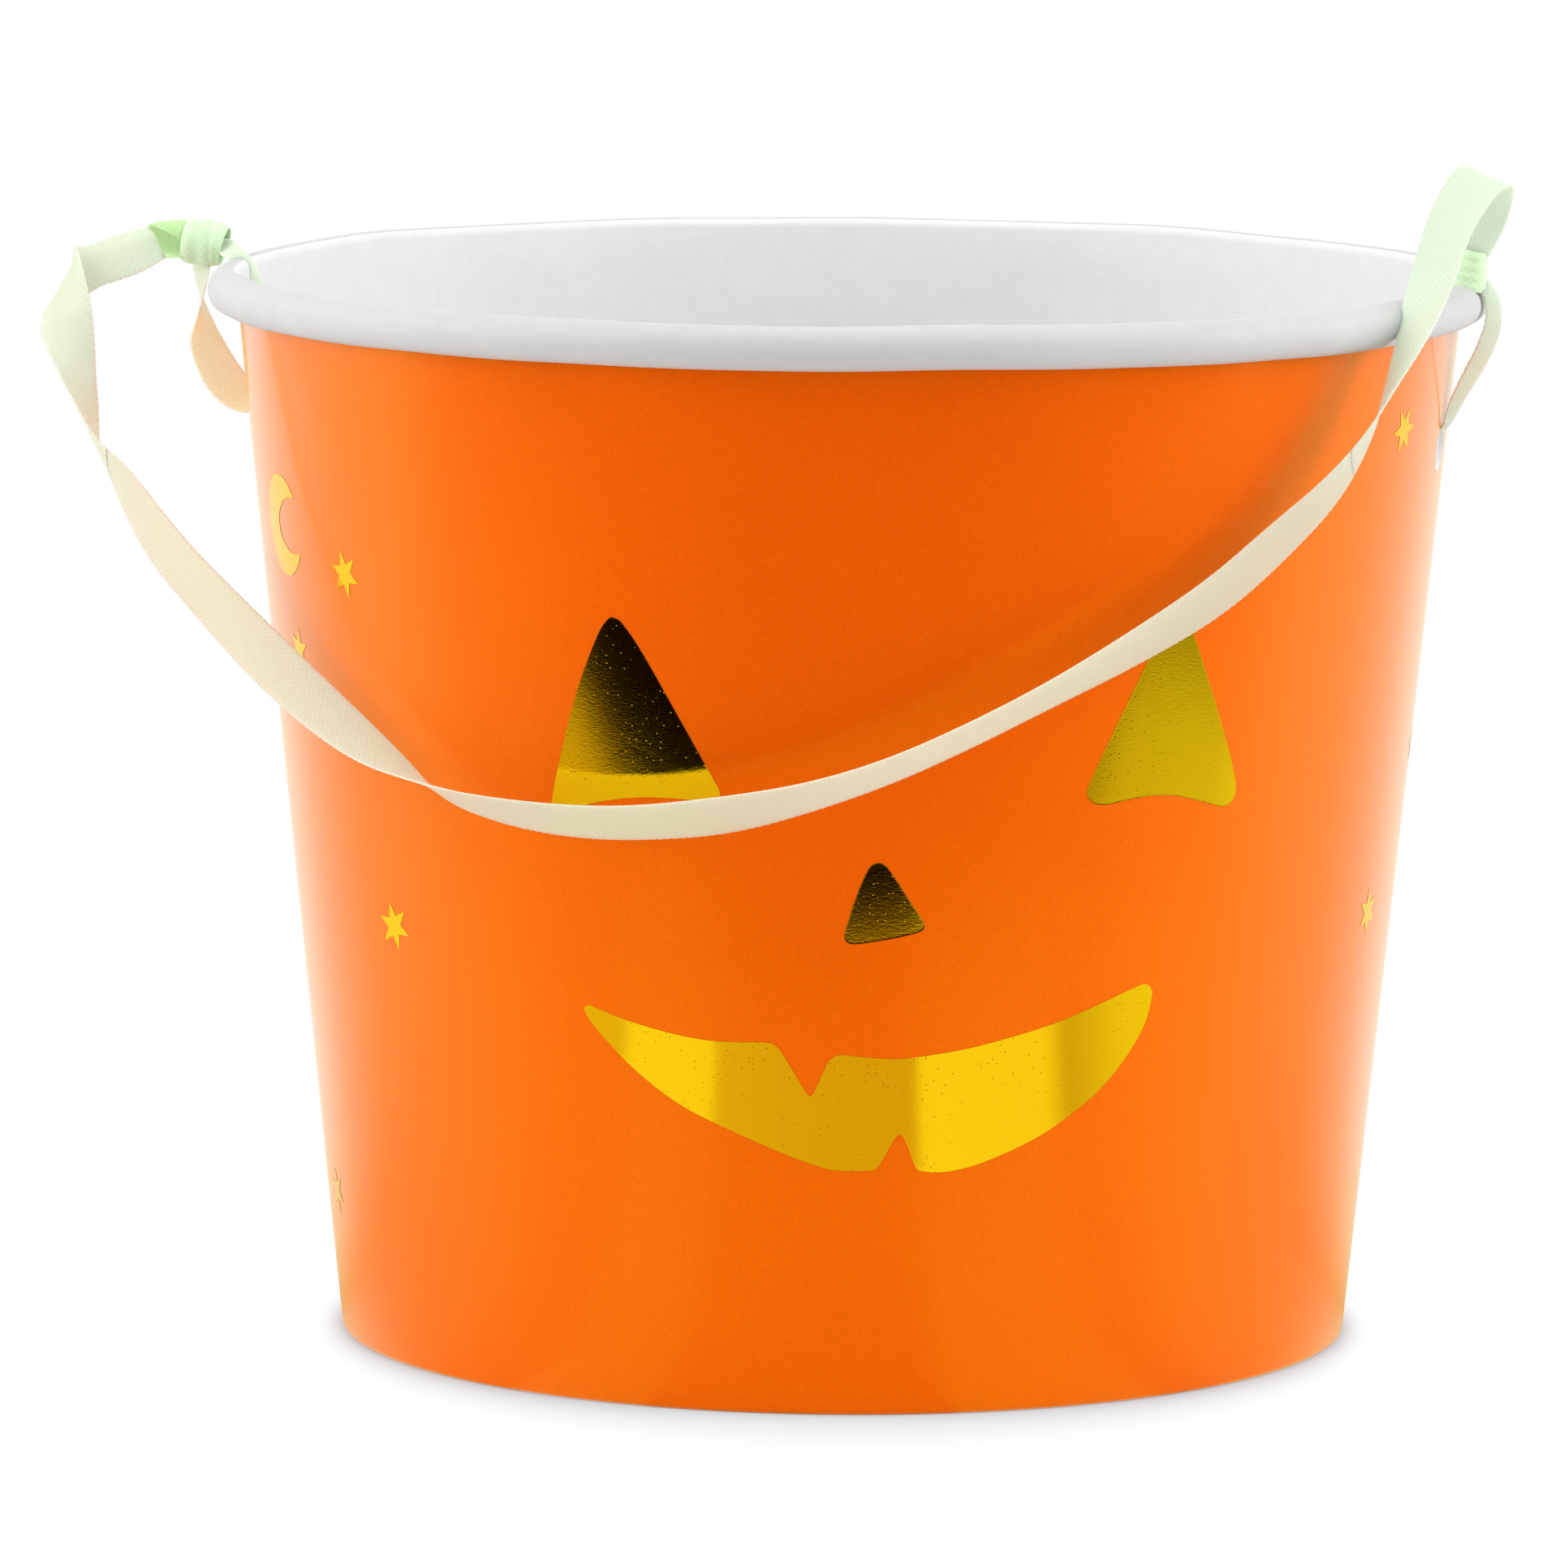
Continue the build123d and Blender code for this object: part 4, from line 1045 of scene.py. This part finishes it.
class PAIL_OT_ribbon(bpy.types.Operator):
    """Build the ribbon: two knots, two ties through the holes, and the handle in three runs of one spline."""

    bl_idname = "pail.ribbon"
    bl_label = "Ribbon Handle"

    def execute(self, context):
        settings = context.scene.pail_ribbon
        # Ribbon colour low down and high up, with painted light in it, the heights between which it changes,
        # and how much light comes through.
        rise = (0.105, 0.152)
        ribbon_colours_with_painted_light = {
            "face": (settings.ribbon_cream, settings.ribbon_green, rise, 0.9),
            "knotted": (settings.ribbon_knot_painted_light, settings.ribbon_knot_painted_light, rise, 0.1),
            "gathered": (settings.ribbon_fold_painted_light, settings.ribbon_fold_painted_light, rise, 0.9),
            "warmed": (settings.ribbon_painted_bounce, settings.ribbon_knot_painted_light, (0.139, 0.144), 0.9),
        }
        cloth = {
            name: [
                satin_ribbon(settings, f"polyester_satin_{face}_{name}", face, *dye_with_painted_light)
                for face in ("bright", "dull")
            ]
            for name, dye_with_painted_light in ribbon_colours_with_painted_light.items()
        }
        materials = cloth["face"]
        knots = {"left": self.left_knot(settings), "right": self.right_knot(settings)}
        for side, route in (("left", LEFT_TIE_ROUTE), ("right", RIGHT_TIE_ROUTE)):
            knot = ribbon_object(f"{side}_knot_wraps", knots[side], cloth["knotted"] + cloth["gathered"])
            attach(knot, "pail")
            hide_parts(f"{side}_knot")
            line = ribbon_line(route, settings)
            mesh, centre = ribbon_strip(line, 0, line["place"][-1], settings, folds=TIE_FOLDS[side])
            # The left tie carries the painted orange glow low down.
            tie = ribbon_object(f"{side}_tie", mesh, cloth["warmed"] if side == "left" else materials)
            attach(tie, "pail")
            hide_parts(f"{side}_tie_loop")

        line = ribbon_line(HANDLE_ROUTE, settings)
        first, second = HANDLE_CUTS
        mesh, centre = ribbon_strip(line, 0, first, settings, crease=HANDLE_CREASE, folds=HANDLE_FOLDS)
        left = ribbon_object("left_slack", mesh, materials)
        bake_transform(left)
        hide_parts("left_ribbon_end")
        mesh, centre = ribbon_strip(line, first, second, settings)
        span = ribbon_object("handle_span", mesh, materials)
        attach(span, "handle")
        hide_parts("handle_ribbon")
        mesh, centre = ribbon_strip(line, second, line["place"][-1], settings)
        right = ribbon_object("right_slack", mesh, materials)
        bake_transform(right)
        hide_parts("right_ribbon_end")
        return {"FINISHED"}

    def left_knot(self, settings):
        """Two wraps, the upper one slanting over the lower, and the gathered end that leaves them."""
        under = wound_line(
            middle=(-92.4, -0.4, 151.5),
            axis=(1, 0, -0.25),
            front=(0, -1, 0),
            radii=(2.9, 2.8),
            turns=(-200, 190),
            shifts=(0, 0.2, 0),
            halves=(1.7, 2.0, 1.9),
        )
        over = wound_line(
            middle=(-93.9, -0.4, 151.5),
            axis=(1, 0, -0.12),
            front=(0, -1, 0),
            radii=(3.0, 2.9),
            turns=(-190, 185),
            shifts=(0.6, 0.3, 0.2, -0.6, -1.0),
            halves=(2.2, 2.6, 2.4, 1.6, 1.4),
        )
        pleat = (0.12 * MM, 2.0)
        wraps = [ribbon_strip(line, 0, 1, settings, pleat, columns=21)[0] for line in (under, over)]
        points, faces, slots, uv = folded_sheet(LEFT_GATHER, settings)
        return joined([*wraps, (points, faces, slots + 2, uv)])

    def right_knot(self, settings):
        """One tall wrap on the rim, wider at its foot and lightly pleated."""
        wrap = wound_line(
            middle=(88.0, -0.4, 151.9),
            axis=(0.2, 0, 1),
            front=(0, -1, 0),
            radii=(2.0, 2.05),
            turns=(-230, 200),
            shifts=(0, 0.1, 0),
            halves=(2.5, 2.8, 2.6),
            cone=-0.19,
        )
        return ribbon_strip(wrap, 0, 1, settings, (0.07 * MM, 4.0), columns=29)[0]


# ---------------------------------------------------------------- stage

# How mirrors see the floor, by degrees right of the camera: painted bands of light, and painted warm shade
# between them.
FLOOR_WEDGES = [
    (-90, "#FFFFFF"), (-60, "#F6EEDA"), (-50, "#EFD8B0"), (-40.5, "#E4D1A8"), (-38, "#FFFDF0"),
    (-23.4, "#FDF9E8"), (-21.6, "#E2CCA8"), (-5, "#DAC1A0"), (11.8, "#DABEA0"), (13.5, "#FDFAEC"),
    (36, "#FBF6E4"), (40, "#D2C19E"), (52, "#F0EED2"), (64, "#F8FAD6"), (72, "#FDFFE4"), (90, "#FFFFFF"),
]  # fmt: skip
# How mirrors see the floor beside and behind the pail, by metres in front of its axis: a painted shadow and
# orange glow close to it.
FLOOR_DEPTHS = [
    (-0.5, "#FFFFFF"), (-0.31, "#FEFBF7"), (-0.14, "#FAEFDF"), (-0.055, "#F4DFC4"), (-0.01, "#E5B68A"),
    (0.06, "#FFFFFF"),
]  # fmt: skip
# How mirrors see the floor in front of the pail: painted shade dims it between these distances from the axis,
# to a tone.
FLOOR_STEPS = ((0.24, 0.33, "#DADADA"), (0.36, 0.47, "#A8A8A8"))
# Distances from the axis over which the floor's depths count less and less, and in front of it over which
# the steps start and the table ends.
BESIDE_REACH = (0.08, 0.26)
STEPS_START = (0.03, 0.12)
TABLE_END = (0.233, 0.268)
# The shadow fades out from the base's edge to an ellipse, given by its reach in front and how much narrower
# it is across.
SHADOW_START = 0.0712
SHADOW_REACH = 0.1035
SHADOW_NARROW = 1.38
FLOOR_HALF = 6.0


class PAIL_OT_stage(bpy.types.Operator):
    """Set the white floor, the soft light and the camera."""

    bl_idname = "pail.stage"
    bl_label = "Stage"

    def execute(self, context):
        settings = context.scene.pail_stage
        scene = context.scene
        scene.view_settings.view_transform = "Standard"
        self.floor(settings)
        self.world(scene, settings)
        self.lights(settings)
        self.camera(scene)
        return {"FINISHED"}

    def floor(self, settings):
        """A white floor: plain white to the camera but for a soft shadow close to the pail. Mirrors see it
        end 0.25 m in front of the pail's axis, as a table would, with painted bands of light and painted
        shade on it."""
        material, tree, shader = blank_material("white_floor")
        place = node(tree, "TexCoord", out="Object")
        radius = node(tree, "VectorMath", {0: place}, "Value", operation="LENGTH")
        facing = node(tree, "Mapping", {"Vector": place, "Rotation": (0, 0, -CAMERA_AZIMUTH)})
        right = node(tree, "SeparateXYZ", {"Vector": facing}, "X")
        front = node(tree, "Math", {0: right.node.outputs["Y"], 1: -1.0}, operation="MULTIPLY")
        angle = node(tree, "Math", {0: right, 1: front}, operation="ARCTAN2")
        degrees = node(tree, "Math", {0: angle}, operation="DEGREES")
        # Each list of tones is a ramp from its first place to its last.
        ramps = []
        for value, tones in ((degrees, FLOOR_WEDGES), (front, FLOOR_DEPTHS)):
            first, last = tones[0][0], tones[-1][0]
            share = node(tree, "MapRange", {"Value": value, "From Min": first, "From Max": last})
            stops = [((at - first) / (last - first), linear(tone)) for at, tone in tones]
            ramps.append(node(tree, "ValToRGB", {"Fac": share}, stops=stops))
        low, high = BESIDE_REACH
        fading = {"Value": radius, "From Min": low, "From Max": high, "To Min": 1.0, "To Max": 0.0}
        close = node(tree, "MapRange", fading, **SMOOTH)
        table = node(tree, "Mix", {"Factor": close, 6: ramps[0], 7: ramps[1]}, 2, **TIMES)

        # Painted shade: in front of the pail the floor, as mirrors see it, grows dimmer away from it, in two
        # steps.
        low, high = STEPS_START
        ahead = node(tree, "MapRange", {"Value": front, "From Min": low, "From Max": high}, **SMOOTH)
        for low, high, tone in FLOOR_STEPS:
            step = node(tree, "MapRange", {"Value": radius, "From Min": low, "From Max": high}, **SMOOTH)
            share = node(tree, "Math", {0: step, 1: ahead}, operation="MULTIPLY")
            table = node(tree, "Mix", {"Factor": share, 6: table, 7: linear(tone)}, 2, **TIMES)
        low, high = TABLE_END
        end = node(tree, "MapRange", {"Value": front, "From Min": low, "From Max": high}, **SMOOTH)
        mirrored = node(tree, "Mix", {"Factor": end, 6: table, 7: linear("#0C0504")}, 2, **COLOURS)
        seen = node(tree, "LightPath", out="Is Camera Ray")
        mirror = seen.node.outputs["Is Glossy Ray"]
        shown = node(tree, "Mix", {"Factor": mirror, 6: linear("#FFFFFF"), 7: mirrored}, 2, **COLOURS)

        # The shadow lies within an ellipse round the base, 32 mm out in front and 4 mm at the sides.
        spread = node(tree, "Mapping", {"Vector": facing, "Scale": (SHADOW_NARROW, 1.0, 1.0)})
        reach = node(tree, "VectorMath", {0: spread}, "Value", operation="LENGTH")
        ratio = node(tree, "Math", {0: radius, 1: reach}, operation="DIVIDE")
        edge = node(tree, "Math", {0: ratio, 1: SHADOW_REACH}, operation="MULTIPLY")
        fading = {"Value": radius, "From Min": SHADOW_START, "From Max": edge, "To Min": 1.0, "To Max": 0.0}
        fade = node(tree, "MapRange", fading)
        soft = node(tree, "Math", {0: fade, 1: 2.0}, operation="POWER")
        plain = node(tree, "Math", {0: soft, 1: settings.floor_plain - 1.0, 2: 1.0}, operation="MULTIPLY_ADD")
        share = node(tree, "Math", {0: seen, 1: plain, 2: mirror}, operation="MULTIPLY_ADD")
        # To the camera the floor is a cooler white, which evens out the pail's orange glow in its shadow.
        tone = node(tree, "Mix", {"Factor": seen, 6: settings.floor, 7: settings.floor_cool}, 2, **COLOURS)
        lit = node(tree, "BsdfDiffuse", {"Color": tone})
        white = node(tree, "Emission", {"Color": shown})
        surface = node(tree, "MixShader", {0: share, 1: lit, 2: white})
        tree.links.new(surface, tree.nodes["Material Output"].inputs["Surface"])
        tree.nodes.remove(shader)
        corners = np.array([(-1, -1, 0), (1, -1, 0), (1, 1, 0), (-1, 1, 0)]) * FLOOR_HALF
        floor = new_piece("floor", corners, np.array([[0, 1, 2, 3]]), [material])

    def world(self, scene, settings):
        """White surroundings: plain white to the camera, and dimmer in front than at the sides and above."""
        world = bpy.data.worlds.new("white_studio")
        scene.world = world
        world.use_nodes = True
        tree = world.node_tree
        background = tree.nodes["Background"]
        seen = node(tree, "LightPath", out="Is Camera Ray")
        mirror = seen.node.outputs["Is Glossy Ray"]
        direction = node(tree, "TexCoord", out="Generated")
        facing = node(tree, "Mapping", {"Vector": direction, "Rotation": (0, 0, -CAMERA_AZIMUTH)})
        behind = node(tree, "SeparateXYZ", {"Vector": facing}, "Y")
        rising = {"Value": behind, "From Min": -0.95, "From Max": -0.3, "To Min": 0.39, "To Max": 1.0}
        front = node(tree, "MapRange", rising, **SMOOTH)
        level = node(tree, "Math", {0: front, 1: settings.world_strength}, operation="MULTIPLY")
        mirrored = node(tree, "Mix", {"Factor": mirror, 2: level, 3: front})
        strength = node(tree, "Mix", {"Factor": seen, 2: mirrored, 3: 1.0})
        background.inputs["Color"].default_value = linear("#FFFFFF")
        tree.links.new(strength, background.inputs["Strength"])

    def lights(self, settings):
        """Two softboxes at the sides and one overhead, turned with the camera."""
        boxes = (
            ("left_softbox", (-0.9, -0.25, 0.55), 0.9, settings.side_power),
            ("right_softbox", (0.9, -0.25, 0.55), 0.9, settings.side_power),
            ("top_softbox", (0.0, -0.1, 1.2), 1.0, settings.top_power),
        )
        turn = Matrix.Rotation(CAMERA_AZIMUTH, 4, "Z")
        target = Vector((0, 0, 0.08))
        for name, place, size, power in boxes:
            lamp = bpy.data.lights.new(name, "AREA")
            lamp.shape = "SQUARE"
            lamp.size = size
            lamp.energy = power
            holder = bpy.data.objects.new(name, lamp)
            position = turn @ Vector(place)
            aim = (target - position).to_track_quat("-Z", "Y").to_matrix().to_4x4()
            holder.matrix_world = Matrix.Translation(position) @ aim
            bpy.context.scene.collection.objects.link(holder)

    def camera(self, scene):
        """A long lens at the photograph's place: 1.55 m off, a little above, aimed at the pail's middle."""
        lens = bpy.data.cameras.new("camera")
        lens.sensor_width = 36
        lens.lens = 252.46
        lens.shift_x = -0.03955
        lens.shift_y = 0.0088
        holder = bpy.data.objects.new("camera", lens)
        elevation, distance, roll = np.radians(7.805), 1.55446, np.radians(0.398)
        middle = Vector((0, 0, 0.075))
        back = Vector((0, -np.cos(elevation), np.sin(elevation)))
        aim = (-back).to_track_quat("-Z", "Y").to_matrix().to_4x4()
        place = Matrix.Translation(middle + back * distance) @ aim @ Matrix.Rotation(roll, 4, "Z")
        holder.matrix_world = Matrix.Rotation(CAMERA_AZIMUTH, 4, "Z") @ place
        scene.collection.objects.link(holder)
        scene.camera = holder


class PAIL_PT_panel(bpy.types.Panel):
    """Settings and build steps in the sidebar."""

    bl_idname = "PAIL_PT_panel"
    bl_label = "Treat Pail"
    bl_space_type = "VIEW_3D"
    bl_region_type = "UI"
    bl_category = "Treat Pail"

    def draw(self, context):
        layout = self.layout
        for group in (context.scene.pail, context.scene.pail_ribbon, context.scene.pail_stage):
            box = layout.box()
            for name in group.__annotations__:
                box.prop(group, name)
        for operator in STEPS:
            layout.operator(operator.bl_idname)


STEPS = (PAIL_OT_stage, PAIL_OT_wall, PAIL_OT_face, PAIL_OT_small_prints, PAIL_OT_ribbon)
CLASSES = (PailSettings, RibbonSettings, StageSettings, *STEPS, PAIL_PT_panel)


def register():
    for made in CLASSES:
        bpy.utils.register_class(made)
    bpy.types.Scene.pail = PointerProperty(type=PailSettings)
    bpy.types.Scene.pail_ribbon = PointerProperty(type=RibbonSettings)
    bpy.types.Scene.pail_stage = PointerProperty(type=StageSettings)


def unregister():
    del bpy.types.Scene.pail_stage
    del bpy.types.Scene.pail_ribbon
    del bpy.types.Scene.pail
    for made in reversed(CLASSES):
        bpy.utils.unregister_class(made)


def main():
    """Register, and build every piece in order."""
    register()
    for step in STEPS:
        group, name = step.bl_idname.split(".")
        getattr(getattr(bpy.ops, group), name)()


if __name__ == "__main__":
    main()
